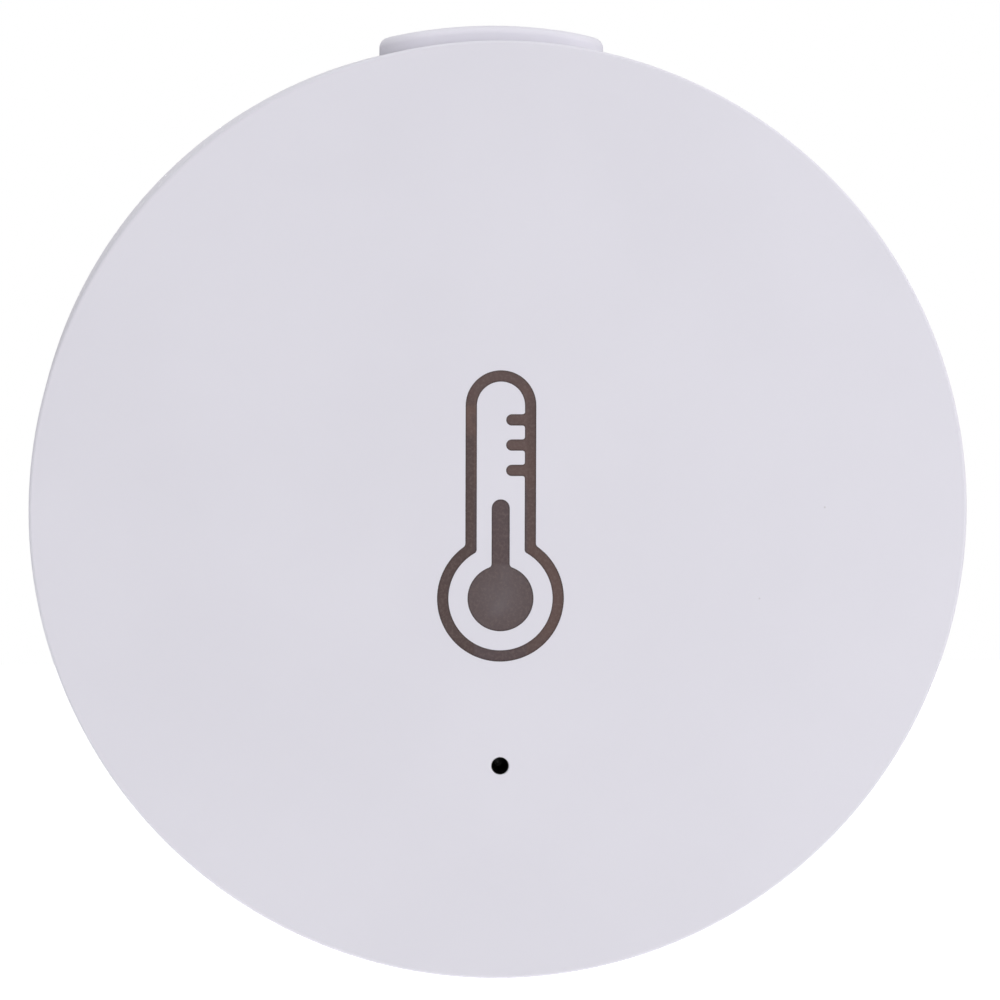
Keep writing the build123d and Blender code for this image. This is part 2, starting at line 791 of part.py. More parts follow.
# ---- battery cover: turns anticlockwise, seen from the back, to line its lugs up with the entries
with BuildPart() as battery_cover:
    disc(cover_radius, cover_base, cover_top)
    ring(cover_radius - cover_rim, cover_radius, cover_top, lug_top)
    for index in range(lug_count):
        middle = lug_first + index * 360 / lug_count
        arc_block(cover_radius - cover_rim, lug_radius, middle, lug_sweep, lug_base, lug_top)
    with BuildSketch(level(cover_base)):
        SlotOverall(coin_slot_length, coin_slot_width)
    extrude(amount=coin_slot_depth, mode=Mode.SUBTRACT)
    with BuildSketch(level(cover_base)):
        with PolarLocations(cover_radius - cover_rim, 1, lug_first):
            Circle(cover_mark_radius)
    extrude(amount=mark_depth, mode=Mode.SUBTRACT)
battery_cover.part.label = "battery_cover"
export_step(battery_cover.part, "parts/battery_cover.step")

# ---- cushion stuck inside the cover, pressing on the cell
with BuildPart() as cover_cushion:
    disc(cell_radius - cushion_inset, cover_top, cell_base - cushion_gap)
cover_cushion.part.label = "cover_cushion"
export_step(cover_cushion.part, "parts/cover_cushion.step")

# ---- adhesive ring, half sunk in the rear shell's recess
with BuildPart() as adhesive_ring:
    ring(pad_inner_radius, pad_outer_radius, 0, pad_thickness)
adhesive_ring.part.label = "adhesive_ring"
export_step(adhesive_ring.part, "parts/adhesive_ring.step")
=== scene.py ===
# %% [markdown]
# # A round wall sensor for temperature and humidity
# The object is a white disc, 36 mm across, that sticks to a wall. Its face carries a small brown
# thermometer and a pin-hole for a light, and a curved push button stands out of the rim at the top.
# The measured solids come from the frame. This script gives each of them its real surface, and makes
# anew the pieces whose curves and edges the eye follows.

# %% Load the frame
import bpy
import bmesh
import math
import random
from mathutils import Matrix, Vector, noise


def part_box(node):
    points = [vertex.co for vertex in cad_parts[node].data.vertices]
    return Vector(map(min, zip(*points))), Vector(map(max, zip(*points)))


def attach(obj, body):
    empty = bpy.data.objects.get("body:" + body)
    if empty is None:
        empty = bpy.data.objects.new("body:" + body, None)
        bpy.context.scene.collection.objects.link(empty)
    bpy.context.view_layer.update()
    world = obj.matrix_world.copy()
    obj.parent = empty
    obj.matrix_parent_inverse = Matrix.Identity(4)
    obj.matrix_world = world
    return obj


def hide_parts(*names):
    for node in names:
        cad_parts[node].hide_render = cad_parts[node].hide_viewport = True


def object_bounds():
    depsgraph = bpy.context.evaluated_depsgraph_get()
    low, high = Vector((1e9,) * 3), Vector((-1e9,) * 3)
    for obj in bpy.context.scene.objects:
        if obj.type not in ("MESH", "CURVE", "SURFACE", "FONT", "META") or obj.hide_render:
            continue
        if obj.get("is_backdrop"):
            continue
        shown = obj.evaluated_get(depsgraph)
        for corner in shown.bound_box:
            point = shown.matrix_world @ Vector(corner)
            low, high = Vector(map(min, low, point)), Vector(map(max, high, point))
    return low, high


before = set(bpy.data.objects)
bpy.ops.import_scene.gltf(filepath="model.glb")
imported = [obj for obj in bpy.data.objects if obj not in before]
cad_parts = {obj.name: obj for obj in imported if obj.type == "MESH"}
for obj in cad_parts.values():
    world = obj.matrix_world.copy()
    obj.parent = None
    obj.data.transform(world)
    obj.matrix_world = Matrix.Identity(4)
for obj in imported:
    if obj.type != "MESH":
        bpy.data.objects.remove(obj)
cad_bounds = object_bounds()
MM = 0.001

# %% [markdown]
# ## Places read from the frame
# The sensor lies against a wall, which is the plane Y = 0, and its face looks along -Y. A height here is a
# distance from the wall towards the front, in millimetres, so a height h is the plane Y = -h. Heights and
# radii come from the solids' own boxes, so a new piece fits its neighbours without a fitting step.

# %% Places
def span(node, axis):
    """The lowest and highest value of a node along X, Y or Z, in millimetres."""
    low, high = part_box(node)
    return low["XYZ".index(axis)] / MM, high["XYZ".index(axis)] / MM


def heights(node):
    """How far a node's back and front are from the wall."""
    low, high = span(node, "Y")
    return -high, -low


back, front = heights("front_shell")
back_radius = span("front_shell", "Z")[1]
board_rear, board_front = heights("circuit_board")
DRAFT = math.radians(0.2)
front_radius = back_radius - (front - back) * math.tan(DRAFT)
print(f"casing: {2 * back_radius:.2f} mm across, from {back:.2f} to {front:.2f} mm off the wall")

# %% [markdown]
# ## Camera
# A macro shot from 200 mm away, a little from the left and a little from above. A long lens keeps the disc
# almost round, and the aim point sits just above the middle of the face.

# %% Camera
CAMERA_DISTANCE = 200 * MM
CAMERA_LEFT = math.radians(4.0)
CAMERA_UP = math.radians(4.2)
CAMERA_ROLL = math.radians(0.15)
LENS = 188.62
AIM = Vector((-0.03 * MM, -front * MM, 0.48 * MM))

face_middle = Vector((0, -front * MM, 0))
eye = face_middle + CAMERA_DISTANCE * Vector((
    -math.cos(CAMERA_UP) * math.sin(CAMERA_LEFT),
    -math.cos(CAMERA_UP) * math.cos(CAMERA_LEFT),
    math.sin(CAMERA_UP),
))
camera_data = bpy.data.cameras.new("camera")
camera_data.lens = LENS
camera_data.sensor_width = 36
camera_data.clip_start = 0.01
camera = bpy.data.objects.new("camera", camera_data)
camera.location = eye
turn = (AIM - eye).to_track_quat("-Z", "Y") @ Matrix.Rotation(CAMERA_ROLL, 3, "Z").to_quaternion()
camera.rotation_euler = turn.to_euler()
bpy.context.scene.collection.objects.link(camera)
bpy.context.scene.camera = camera
bpy.context.scene.view_settings.view_transform = "Standard"
print("camera at", [round(value, 4) for value in eye])

# %% [markdown]
# ## Writing node trees as sentences
# A finish and a geometry recipe are both node trees. One class wraps a socket, so that sums on values are
# written with + and *, and a second one owns a tree and makes any node with a single call: first the
# node's type, then its settings, then the values or wires of its sockets.

# %% Wires and graphs
class Wire:
    """An output socket of a tree, with the arithmetic of numbers."""

    def __init__(self, graph, socket):
        self.graph = graph
        self.socket = socket

    def out(self, name):
        """Another output of the same node."""
        return Wire(self.graph, self.socket.node.outputs[name])

    def maths(self, operation, *values):
        return self.graph.node("ShaderNodeMath", {"operation": operation}, *values)

    def __add__(self, other):
        return self.maths("ADD", self, other)

    def __sub__(self, other):
        return self.maths("SUBTRACT", self, other)

    def __rsub__(self, other):
        return self.maths("SUBTRACT", other, self)

    def __mul__(self, other):
        return self.maths("MULTIPLY", self, other)

    def __truediv__(self, other):
        return self.maths("DIVIDE", self, other)

    def __gt__(self, other):
        return self.maths("GREATER_THAN", self, other)

    def __lt__(self, other):
        return self.maths("LESS_THAN", self, other)

    def cos(self):
        return self.maths("COSINE", self)

    def sin(self):
        return self.maths("SINE", self)

    def round(self):
        return self.maths("ROUND", self)

    def __abs__(self):
        return self.maths("ABSOLUTE", self)

    def most(self, other):
        return self.maths("MAXIMUM", self, other)

    __radd__ = __add__
    __rmul__ = __mul__


class Graph:
    """A node tree."""

    def __init__(self, tree):
        self.tree = tree

    def feed(self, socket, value):
        if isinstance(value, Wire):
            self.tree.links.new(value.socket, socket)
        else:
            socket.default_value = value

    def node(self, kind, settings=None, *values, **named):
        """Make a node, set it up, feed its sockets by order or by name, and return its first output."""
        made = self.tree.nodes.new(kind)
        settings = dict(settings or {})
        stops = settings.pop("stops", ())
        for key, value in settings.items():
            setattr(made, key, value)
        for index, (place, colour) in enumerate(stops):
            ramp = made.color_ramp.elements
            element = ramp[index] if index < len(ramp) else ramp.new(place)
            element.position = place
            element.color = colour
        sockets = [socket for socket in made.inputs if socket.enabled]
        for socket, value in zip(sockets, values):
            self.feed(socket, value)
        for key, value in named.items():
            name = key.replace("_", " ")
            self.feed(next(socket for socket in sockets if socket.name == name), value)
        outputs = [socket for socket in made.outputs if socket.enabled]
        return Wire(self, outputs[0]) if outputs else made


def rgb(red, green, blue):
    """A colour given in the 0 to 255 steps of a paint chart, made linear for the shader."""
    return tuple(
        value / 12.92 if value <= 0.04045 else ((value + 0.055) / 1.055) ** 2.4
        for value in (red / 255, green / 255, blue / 255)
    ) + (1.0,)


print("graph helpers ready")

# %% [markdown]
# ## Light and stage
# A matt white thing on white needs very even light, with just enough direction to draw its edges. A white
# world gives about two fifths of it. A soft lamp near the disc on the right, level with its middle, gives
# the slight rise in brightness across the face, and one high in front reaches over the rim to the lower edge
# of the button. A weaker one at the upper left draws the bright line along the upper edges, and another, low
# on the left, lifts the lower rim as a white table would. The last one lights the back, straight from behind.
# It is hidden from glossy rays, because the side wall, seen at a grazing angle, would mirror it as a streak.
# The white behind the object is made for camera, glossy and transmission rays only, so it adds no light.

# %% Light and stage
WORLD_LIGHT = 0.345
LAMPS = (
    ("side_lamp", Vector((0.19, -0.112, 0.004)), 0.23),
    ("front_lamp", Vector((0.05, -0.80, 0.84)), 4.5),
    ("top_lamp", Vector((-0.10, -0.05, 0.31)), 0.24),
    ("low_lamp", Vector((-0.082, -0.04, -0.276)), 0.575),
    ("back_lamp", Vector((0, 0.60, 0)), 1.75),
)
LAMP_SIZE = 0.2
FLOOR_DROP = 400 * MM


def sees_white(graph):
    """1 for the rays that should see plain white: camera, glossy and transmission rays."""
    rays = graph.node("ShaderNodeLightPath")
    return rays.out("Is Camera Ray").most(rays.out("Is Glossy Ray")).most(rays.out("Is Transmission Ray"))


world = bpy.data.worlds.new("white_room")
world.use_nodes = True
bpy.context.scene.world = world
world.node_tree.nodes.clear()
sky = Graph(world.node_tree)
lighting = sky.node("ShaderNodeBackground", None, (1, 1, 1, 1), WORLD_LIGHT)
seen = sky.node("ShaderNodeBackground", None, (1, 1, 1, 1), 1.0)
mixed_sky = sky.node("ShaderNodeMixShader", None, sees_white(sky), lighting, seen)
sky.node("ShaderNodeOutputWorld", None, mixed_sky)

for name, place, power in LAMPS:
    lamp_data = bpy.data.lights.new(name, "AREA")
    lamp_data.size = LAMP_SIZE
    lamp_data.energy = power
    lamp = bpy.data.objects.new(name, lamp_data)
    lamp.location = place
    lamp.visible_camera = False
    lamp.visible_glossy = name != "back_lamp"
    lamp.rotation_euler = (face_middle - place).to_track_quat("-Z", "Y").to_euler()
    bpy.context.scene.collection.objects.link(lamp)

SIDE = 4.0
floor_z = -back_radius * MM - FLOOR_DROP
floor_mesh = bpy.data.meshes.new("floor")
corners = [(-SIDE, -SIDE, floor_z), (SIDE, -SIDE, floor_z), (SIDE, SIDE, floor_z), (-SIDE, SIDE, floor_z)]
floor_mesh.from_pydata(corners, [], [(0, 1, 2, 3)])
floor = bpy.data.objects.new("floor", floor_mesh)
bpy.context.scene.collection.objects.link(floor)
floor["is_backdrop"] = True
floor_finish = bpy.data.materials.new("pale_floor")
floor_finish.use_nodes = True
floor_graph = Graph(floor_finish.node_tree)
paint = floor_finish.node_tree.nodes["Principled BSDF"]
paint.inputs["Base Color"].default_value = (0.9, 0.9, 0.9, 1)
paint.inputs["Roughness"].default_value = 0.9
paint.inputs["Emission Color"].default_value = (1, 1, 1, 1)
floor_graph.feed(paint.inputs["Emission Strength"], sees_white(floor_graph) * 0.9)
floor_mesh.materials.append(floor_finish)
print("floor at", round(floor_z, 4))

# %% [markdown]
# ## Finishes
# Every finish starts from the same class: a material whose Principled shader is filled in by socket names.
# Patterns read Object coordinates in metres, and all pieces keep their origin at the world's origin, so a
# grain runs on from one piece to the next at its true size. Grain sizes below are in millimetres.

# %% Finish class
class Finish(Graph):
    """A material."""

    def __init__(self, name, **sockets):
        self.material = bpy.data.materials.new(name)
        self.material.use_nodes = True
        super().__init__(self.material.node_tree)
        self.shader = self.tree.nodes["Principled BSDF"]
        self.place = self.node("ShaderNodeTexCoord").out("Object")
        self.set(**sockets)

    def set(self, **sockets):
        for key, value in sockets.items():
            self.feed(self.shader.inputs[key.replace("_", " ")], value)

    def noise(self, grain, detail=2.0, roughness=0.5, place=None):
        """Soft noise around 0.5 with features of one grain, in millimetres."""
        return self.node(
            "ShaderNodeTexNoise", None, Vector=place or self.place, Scale=1000 / grain, Detail=detail,
            Roughness=roughness,
        )

    def cells(self, grain, feature="F1", place=None, **settings):
        """Distance to the nearest of scattered points, one to a grain."""
        settings["feature"] = feature
        return self.node("ShaderNodeTexVoronoi", settings, Vector=place or self.place, Scale=1000 / grain)

    def stretched(self, *stretch):
        """The place, pulled so that a pattern runs along the axis with the smallest number."""
        return self.node("ShaderNodeMapping", None, Vector=self.place, Scale=stretch)

    def step(self, value, low, high, start=0.0, end=1.0):
        """Value carried from low..high to start..end along a smooth step."""
        eased_range = {"interpolation_type": "SMOOTHSTEP"}
        return self.node("ShaderNodeMapRange", eased_range, value, low, high, start, end)

    def tint(self, factor, first, second):
        """A colour between two colours."""
        return self.node("ShaderNodeMix", {"data_type": "RGBA"}, factor, first, second)

    def axis(self, vector, name):
        return self.node("ShaderNodeSeparateXYZ", None, vector).out(name)

    def relief(self, height, depth, strength=1.0):
        """Bumps whose height runs from 0 to 1 over a depth in millimetres."""
        bumps = self.node("ShaderNodeBump", None, Strength=strength, Distance=depth * MM, Height=height)
        self.set(Normal=bumps)


FINISHES = {}


def keep(slot, finish):
    """File a finish under the record's slot name."""
    FINISHES[slot] = finish.material
    print("finish:", slot, len(finish.tree.nodes), "nodes")


# %% [markdown]
# ## White moulding
# The casing, button and cover are one white plastic: matt, a touch lavender, with the very fine grain of a
# spark-eroded mould. A broad noise shifts the tone by less than the eye can name, a fine one breaks up the
# gloss, and a few specks of dust sit in the plastic, as they do in any light moulding.

# %% White moulding
white = Finish("white_shell", IOR=1.46, Specular_IOR_Level=0.3)
tone = white.step(white.noise(7.0, 2.0), 0.3, 0.7)
fine = white.noise(0.11, 2.0, 0.6)
pores = white.cells(2.6)
speck = white.step(pores, 0.010, 0.022, 1.0, 0.0)
rare = white.node("ShaderNodeSeparateColor", None, pores.out("Color")) > 0.7
moulded = white.tint(tone, rgb(224, 222, 231), rgb(226, 224, 233))
dusted = white.tint(speck * rare * 0.3, moulded, rgb(150, 140, 138))
white.set(Base_Color=dusted, Roughness=0.56 + fine * 0.08)
white.relief(fine, 0.003, 0.35)
keep("white_shell", white)

# %% [markdown]
# ## Brown foil
# The thermometer is stamped with a thin dark foil. Foil is a metal film under a tinted lacquer, so it is a
# little metallic and satin. Its rim is painted darker along the outline, as painted shade of the bed's edge,
# the lower ring is painted lighter towards the right as a painted reflection of the lamp there, and the film
# runs from grey in the bulb to brown at the top of the tube, with a trace of copper on the left wall. A
# rim value painted on the mesh and the height and side of the point drive those changes.

# %% Brown foil
foil = Finish("brown_foil", Metallic=0.15, IOR=1.5, Specular_IOR_Level=0.35)
up = foil.axis(foil.place, "Z")
left = foil.axis(foil.place, "X")
# The rim value is 1 on the foil's border, where the finish paints shade.
rim = foil.node("ShaderNodeAttribute", {"attribute_name": "rim"}).out("Fac")
grain = foil.noise(0.12, 3.0, 0.65)
patch = foil.noise(1.6, 2.0)
bulb_middle = (0, -front * MM, -3.29 * MM)
from_bulb = foil.node("ShaderNodeVectorMath", {"operation": "DISTANCE"}, foil.place, bulb_middle).out("Value")
from_axis = abs(left)
# Painted highlight: the lower ring is painted lighter towards the right, as the lamp on the right would
# reflect in it.
lower = foil.tint(foil.step(left, -1.2 * MM, 2.2 * MM), rgb(72, 57, 55), rgb(86, 67, 63))
wall = foil.tint(foil.step(up, 3.6 * MM, 5.2 * MM), lower, rgb(90, 69, 66))
inner = foil.tint(foil.step(up, 0.6 * MM, 1.2 * MM), rgb(77, 64, 66), rgb(90, 72, 69))
stroked = foil.tint(foil.step(from_axis, 0.98 * MM, 1.06 * MM), inner, wall)
liquid_tone = foil.tint(foil.step(from_bulb, 0.3 * MM, 1.1 * MM), rgb(97, 88, 91), rgb(88, 77, 79))
both = foil.tint(foil.step(from_bulb, 1.2 * MM, 1.4 * MM), liquid_tone, stroked)
patched = foil.tint(foil.step(patch, 0.42, 0.62) * 0.4, both, rgb(76, 62, 62))
spot_reach = abs(up - 3.55 * MM)
on_left_wall = foil.step(left, -1.0 * MM, -0.9 * MM, 1.0, 0.0)
copper_spot = on_left_wall * foil.step(spot_reach, 0.4 * MM, 0.75 * MM, 1.0, 0.0)
copper = foil.tint(copper_spot * foil.step(patch, 0.42, 0.62, 1.0, 0.0) * 0.5, patched, rgb(120, 92, 82))
grained = foil.tint(foil.step(grain, 0.4, 0.75) * 0.4, copper, rgb(112, 98, 95))
# Painted shade: the rim value paints the foil darker along its outline.
foil.set(Base_Color=foil.tint(rim * 0.38, grained, rgb(58, 48, 48)), Roughness=0.46 + grain * 0.2)
foil.relief(grain, 0.006, 0.5)
keep("brown_foil", foil)


# %% [markdown]
# ## Other plastics, and the light guide
# A dark plastic on its own reads as a black hole, so each has a grain, a roughness that wanders, and for
# the glass-filled switch housing short pale fibres in its skin. The light guide is smoke-tinted clear
# plastic: it passes the lamp behind it and looks black when that is off.

# %% Plastics
def plastic(slot, colour, other, grain, roughness, relief=0.004, fibres=0.0):
    """A moulded plastic: two tones in broad patches, a fine grain and, if asked, short fibres."""
    made = Finish(slot, IOR=1.5)
    broad = made.step(made.noise(grain * 9, 2.0), 0.35, 0.65)
    texture = made.noise(grain, 3.0, 0.6)
    base = made.tint(broad, colour, other)
    if fibres:
        streak = made.step(made.noise(grain * 0.6, 1.0, place=made.stretched(0.12, 1, 1)), 0.62, 0.72)
        base = made.tint(streak * fibres, base, rgb(150, 150, 148))
    made.set(Base_Color=base, Roughness=made.step(texture, 0.2, 0.8, roughness - 0.08, roughness + 0.08))
    made.relief(texture, relief)
    keep(slot, made)
    return made


plastic("black_plastic", rgb(30, 30, 32), rgb(40, 40, 42), 0.08, 0.5, fibres=0.3)
plastic("chip_black", rgb(26, 26, 28), rgb(35, 35, 36), 0.05, 0.6, relief=0.005)
plastic("sensor_black", rgb(20, 21, 24), rgb(28, 29, 33), 0.06, 0.42)
plastic("seal_plastic", rgb(128, 130, 134), rgb(146, 147, 150), 0.2, 0.4)
plastic("led_white", rgb(232, 230, 218), rgb(240, 239, 232), 0.15, 0.3)
plastic("capacitor_tan", rgb(150, 112, 76), rgb(168, 128, 90), 0.04, 0.45, relief=0.002)
guide = plastic("clear_plastic", rgb(14, 13, 14), rgb(19, 18, 19), 0.3, 0.16, relief=0.001)
guide.set(Transmission_Weight=0.35, Coat_Weight=0.3)


# %% [markdown]
# ## Metals
# Bare metal shows how it was made. Rolled sheet has fine lines along the rolling direction, plating has
# soft blotches, tin has frosty crystals. The lines are noise squeezed across the sheet and drawn out along
# it, and they drive roughness and relief more than colour.

# %% Metals
def metal(slot, colour, shade, roughness, stretch=(1, 1, 1), line=0.03, blotch=2.0, relief=0.002):
    """A metal: two tones in blotches, and lines along the axis with the smallest stretch."""
    made = Finish(slot, Metallic=1.0)
    lines = made.noise(line, 3.0, 0.6, place=made.stretched(*stretch))
    patches = made.noise(blotch, 3.0, 0.6)
    scratch = made.step(made.noise(0.9, 4.0, 0.8, place=made.stretched(0.06, 1, 1)), 0.66, 0.72)
    base = made.tint(made.step(patches, 0.3, 0.7), colour, shade)
    made.set(Base_Color=made.tint(lines * 0.35, base, shade))
    made.set(Roughness=made.step(lines + scratch * 0.4, 0.2, 1.2, roughness - 0.1, roughness + 0.14))
    made.relief(lines + scratch * 0.5, relief)
    keep(slot, made)
    return made


metal("cell_steel", rgb(204, 201, 196), rgb(194, 191, 187), 0.26, (0.03, 1, 1), blotch=5.0)
metal("spring_steel", rgb(200, 198, 194), rgb(178, 176, 172), 0.28, (1, 1, 0.05))
metal("crystal_can", rgb(206, 202, 194), rgb(186, 182, 172), 0.32, (0.08, 1, 1), 0.04)
metal("zinc_steel", rgb(200, 202, 206), rgb(174, 178, 186), 0.36, blotch=0.6, line=0.06, relief=0.004)
metal("tinned_metal", rgb(214, 214, 214), rgb(188, 190, 192), 0.34, blotch=0.25, line=0.08, relief=0.006)
metal("gold_copper", rgb(226, 186, 112), rgb(206, 162, 88), 0.3, blotch=0.5, line=0.05)
metal("lithium_metal", rgb(186, 186, 190), rgb(160, 161, 168), 0.5, (0.2, 1, 1), 0.4, 3.0, 0.02)


# %% [markdown]
# ## Circuit board
# A board is glass fibre under green solder mask. Copper tracks under the mask show as slightly lighter
# lines. They run in bundles, along in one patch and across in the next, so square cells choose the
# direction, lanes of one pitch give the lines, and a random number for each lane leaves some of them out.
# Where the board was cut, its normal leaves the Y axis and the bare straw-coloured fibre shows, in layers.

# %% Circuit board
LANE = 0.42 * MM
board = Finish("green_board", IOR=1.5)
patches = board.node("ShaderNodeSeparateColor", None, board.cells(3.1, distance="CHEBYCHEV").out("Color"))
right, up = board.axis(board.place, "X"), board.axis(board.place, "Z")
lane = (right + (up - right) * (patches > 0.5)) / LANE
number = board.node("ShaderNodeMath", {"operation": "FLOOR"}, lane)
from_middle = abs(lane - number - 0.5)
lot = board.node("ShaderNodeTexWhiteNoise", {"noise_dimensions": "1D"}, W=number + patches.out("Green") * 50)
track = board.step(from_middle, 0.15, 0.19, 1.0, 0.0) * (lot > 0.42)
weave = board.noise(0.25, 2.0)
mask = board.tint(board.step(weave, 0.3, 0.7), rgb(14, 74, 44), rgb(18, 84, 50))
covered = board.tint(track * 0.75, mask, rgb(36, 118, 70))
faces_out = board.axis(board.node("ShaderNodeNewGeometry").out("Normal"), "Y")
flat = board.step(abs(faces_out), 0.5, 0.8)
layers = board.noise(0.07, 2.0, place=board.stretched(0.05, 1, 0.05))
fibre = board.tint(board.step(layers, 0.35, 0.65), rgb(176, 160, 104), rgb(140, 124, 76))
board.set(Base_Color=board.tint(flat, fibre, covered), Roughness=board.step(flat, 0, 1, 0.8, 0.32))
board.relief(track * 0.7 + weave * 0.2, 0.02)
keep("green_board", board)


# %% [markdown]
# ## Foams, cloths and powders
# Foam is a mass of cut bubbles that stand as pits, with their bottoms painted darker as painted shade. The
# adhesive ring is a finer, paler foam, with a glossy film of glue on the side that meets the wall. Fleece is
# a tangle of fibres, and the cathode a pressed powder whose grains catch the light, with their middles
# painted lighter as a painted highlight and the gaps between them darker as painted shade.

# %% Foams, cloths and powders
def foam(slot, colour, pit_shade, bubble):
    """A cut foam with bubbles of one size, in millimetres."""
    made = Finish(slot, Roughness=0.9, IOR=1.4)
    bubbles = made.cells(bubble)
    small = made.cells(bubble * 0.45)
    # Painted shade: the colour goes darker towards the bottom of each bubble.
    depth = made.step(bubbles, 0.1, 0.55) * 0.7 + made.step(small, 0.1, 0.5) * 0.3
    tone = made.noise(bubble * 5, 2.0)
    made.set(Base_Color=made.tint(depth * 0.85 + made.step(tone, 0.3, 0.7) * 0.15, pit_shade, colour))
    made.relief(depth, bubble * 0.35)
    keep(slot, made)
    return made


foam("grey_foam", rgb(128, 128, 131), rgb(72, 72, 75), 0.16)
tape = foam("adhesive_foam", rgb(206, 206, 208), rgb(158, 158, 162), 0.1)
film = tape.step(tape.axis(tape.place, "Y"), -0.05 * MM, -0.02 * MM)
tape.set(Roughness=tape.step(film, 0, 1, 0.88, 0.34))

cloth = Finish("black_mesh", Roughness=0.55, IOR=1.5)
strand = cloth.noise(0.03, 2.0, 0.6)
cloth.set(
    Base_Color=cloth.tint(strand, rgb(20, 20, 22), rgb(44, 44, 47)),
    Roughness=cloth.step(strand, 0.2, 0.8, 0.45, 0.65),
)
cloth.relief(strand, 0.004)
keep("black_mesh", cloth)

fleece = Finish("white_fleece", Roughness=0.95, Sheen_Weight=0.3)
warp = fleece.noise(0.06, 3.0, 0.7, place=fleece.stretched(0.08, 1, 1))
weft = fleece.noise(0.06, 3.0, 0.7, place=fleece.stretched(1, 1, 0.08))
tangle = warp.most(weft)
fleece.set(Base_Color=fleece.tint(fleece.step(tangle, 0.4, 0.7), rgb(196, 195, 190), rgb(232, 231, 227)))
fleece.relief(tangle, 0.02)
keep("white_fleece", fleece)

powder = Finish("cathode_pellet", Roughness=0.85)
grains = powder.cells(0.06)
clump = powder.noise(0.5, 3.0, 0.6)
# Painted highlight and shade: each grain's middle is painted lighter and the gaps between grains darker; the
# clumps are a random tone.
grain_shade_and_clumps = powder.step(grains, 0.1, 0.6) * 0.5 + clump * 0.5
powder.set(Base_Color=powder.tint(grain_shade_and_clumps, rgb(52, 51, 52), rgb(30, 29, 30)))
powder.set(Roughness=powder.step(grains, 0.05, 0.3, 0.5, 0.9))
powder.relief(grains, 0.015)
keep("cathode_pellet", powder)

# %% [markdown]
# ## Working with meshes
# Outlines are written in millimetres and scaled once, when the mesh is made. Every closed solid has its
# normals turned outwards as it is made. Joining and cutting use exact booleans, and a finished piece is
# shaded smooth except at edges sharper than an angle, with normals weighted by face size, so that a large
# flat face stays flat right up to its rounded edge.

# %% Mesh helpers
WELD = 0.0002 * MM
COPY_WELD = 0.0005 * MM


def linked(name, mesh):
    """A new object of a mesh, in the scene."""
    made = bpy.data.objects.new(name, mesh)
    bpy.context.scene.collection.objects.link(made)
    return made


def piece(name, points, faces, scale=MM):
    """A mesh object from points in millimetres, with its faces turned outwards."""
    mesh = bpy.data.meshes.new(name)
    mesh.from_pydata([Vector(point) * scale for point in points], [], faces)
    form = bmesh.new()
    form.from_mesh(mesh)
    bmesh.ops.remove_doubles(form, verts=form.verts, dist=WELD)
    bmesh.ops.recalc_face_normals(form, faces=form.faces)
    form.to_mesh(mesh)
    form.free()
    return linked(name, mesh)


def bake(made):
    """Make the modifiers' result the object's own plain mesh."""
    bpy.context.view_layer.update()
    graph = bpy.context.evaluated_depsgraph_get()
    finished = made.evaluated_get(graph)
    mesh = bpy.data.meshes.new_from_object(finished, preserve_all_data_layers=True, depsgraph=graph)
    made.modifiers.clear()
    made.data = mesh
    mesh.name = made.name
    return made


def combine(made, tools, operation="DIFFERENCE"):
    """Cut tools from a piece, or with UNION weld them on, and throw the tools away."""
    for tool in tools:
        step = made.modifiers.new(operation.lower(), "BOOLEAN")
        step.operation = operation
        step.solver = "EXACT"
        step.object = tool
    bake(made)
    for tool in tools:
        bpy.data.objects.remove(tool)
    return made


def edit(made, work):
    """Run work on the piece's mesh as a bmesh."""
    form = bmesh.new()
    form.from_mesh(made.data)
    work(form)
    form.to_mesh(made.data)
    form.free()
    return made


def flatten(form):
    """Join faces that lie in one plane."""
    bmesh.ops.dissolve_limit(form, angle_limit=math.radians(0.3), verts=form.verts, edges=form.edges)


def soften(made, where, width, steps=2, angle=50):
    """Round the sharp edges whose middle point passes where(x, y, z), in millimetres."""

    def work(form):
        chosen = []
        for edge in form.edges:
            if len(edge.link_faces) == 2 and edge.calc_face_angle() > math.radians(angle):
                middle = (edge.verts[0].co + edge.verts[1].co) / (2 * MM)
                if where(*middle):
                    chosen.append(edge)
        bmesh.ops.bevel(
            form, geom=chosen, offset=width * MM, segments=steps, profile=0.5, affect="EDGES",
            clamp_overlap=False,
        )
    return edit(made, work)


def smooth(made, angle=32, round_edges=0.0, steps=2):
    """Optional small rounds on every sharp edge, then smooth shading with weighted normals."""
    if round_edges:
        bevel = made.modifiers.new("rounds", "BEVEL")
        bevel.width = round_edges * MM
        bevel.segments = steps
        bevel.limit_method = "ANGLE"
        bevel.angle_limit = math.radians(40)
        bake(made)
    for polygon in made.data.polygons:
        polygon.use_smooth = True
    made.data.set_sharp_from_angle(angle=math.radians(angle))
    weigh = made.modifiers.new("weights", "WEIGHTED_NORMAL")
    weigh.keep_sharp = True
    return bake(made)


def finish(made, slot, body, *nodes):
    """Give a piece its finish, the body it rides on and the CAD nodes it stands for."""
    made.data.materials.clear()
    made.data.materials.append(FINISHES[slot])
    for polygon in made.data.polygons:
        polygon.material_index = 0
    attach(made, body)
    if nodes:
        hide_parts(*nodes)
    print(f"{made.name}: {len(made.data.polygons)} faces, on {body}")
    return made


def copy_of(node, name, round_edges=0.03, steps=2):
    """A CAD node's mesh, merged, its flat faces joined, with small rounds and smooth shading."""
    made = linked(name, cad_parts[node].data.copy())

    def work(form):
        bmesh.ops.remove_doubles(form, verts=form.verts, dist=COPY_WELD)
        flatten(form)
    edit(made, work)
    return smooth(made, round_edges=round_edges, steps=steps)


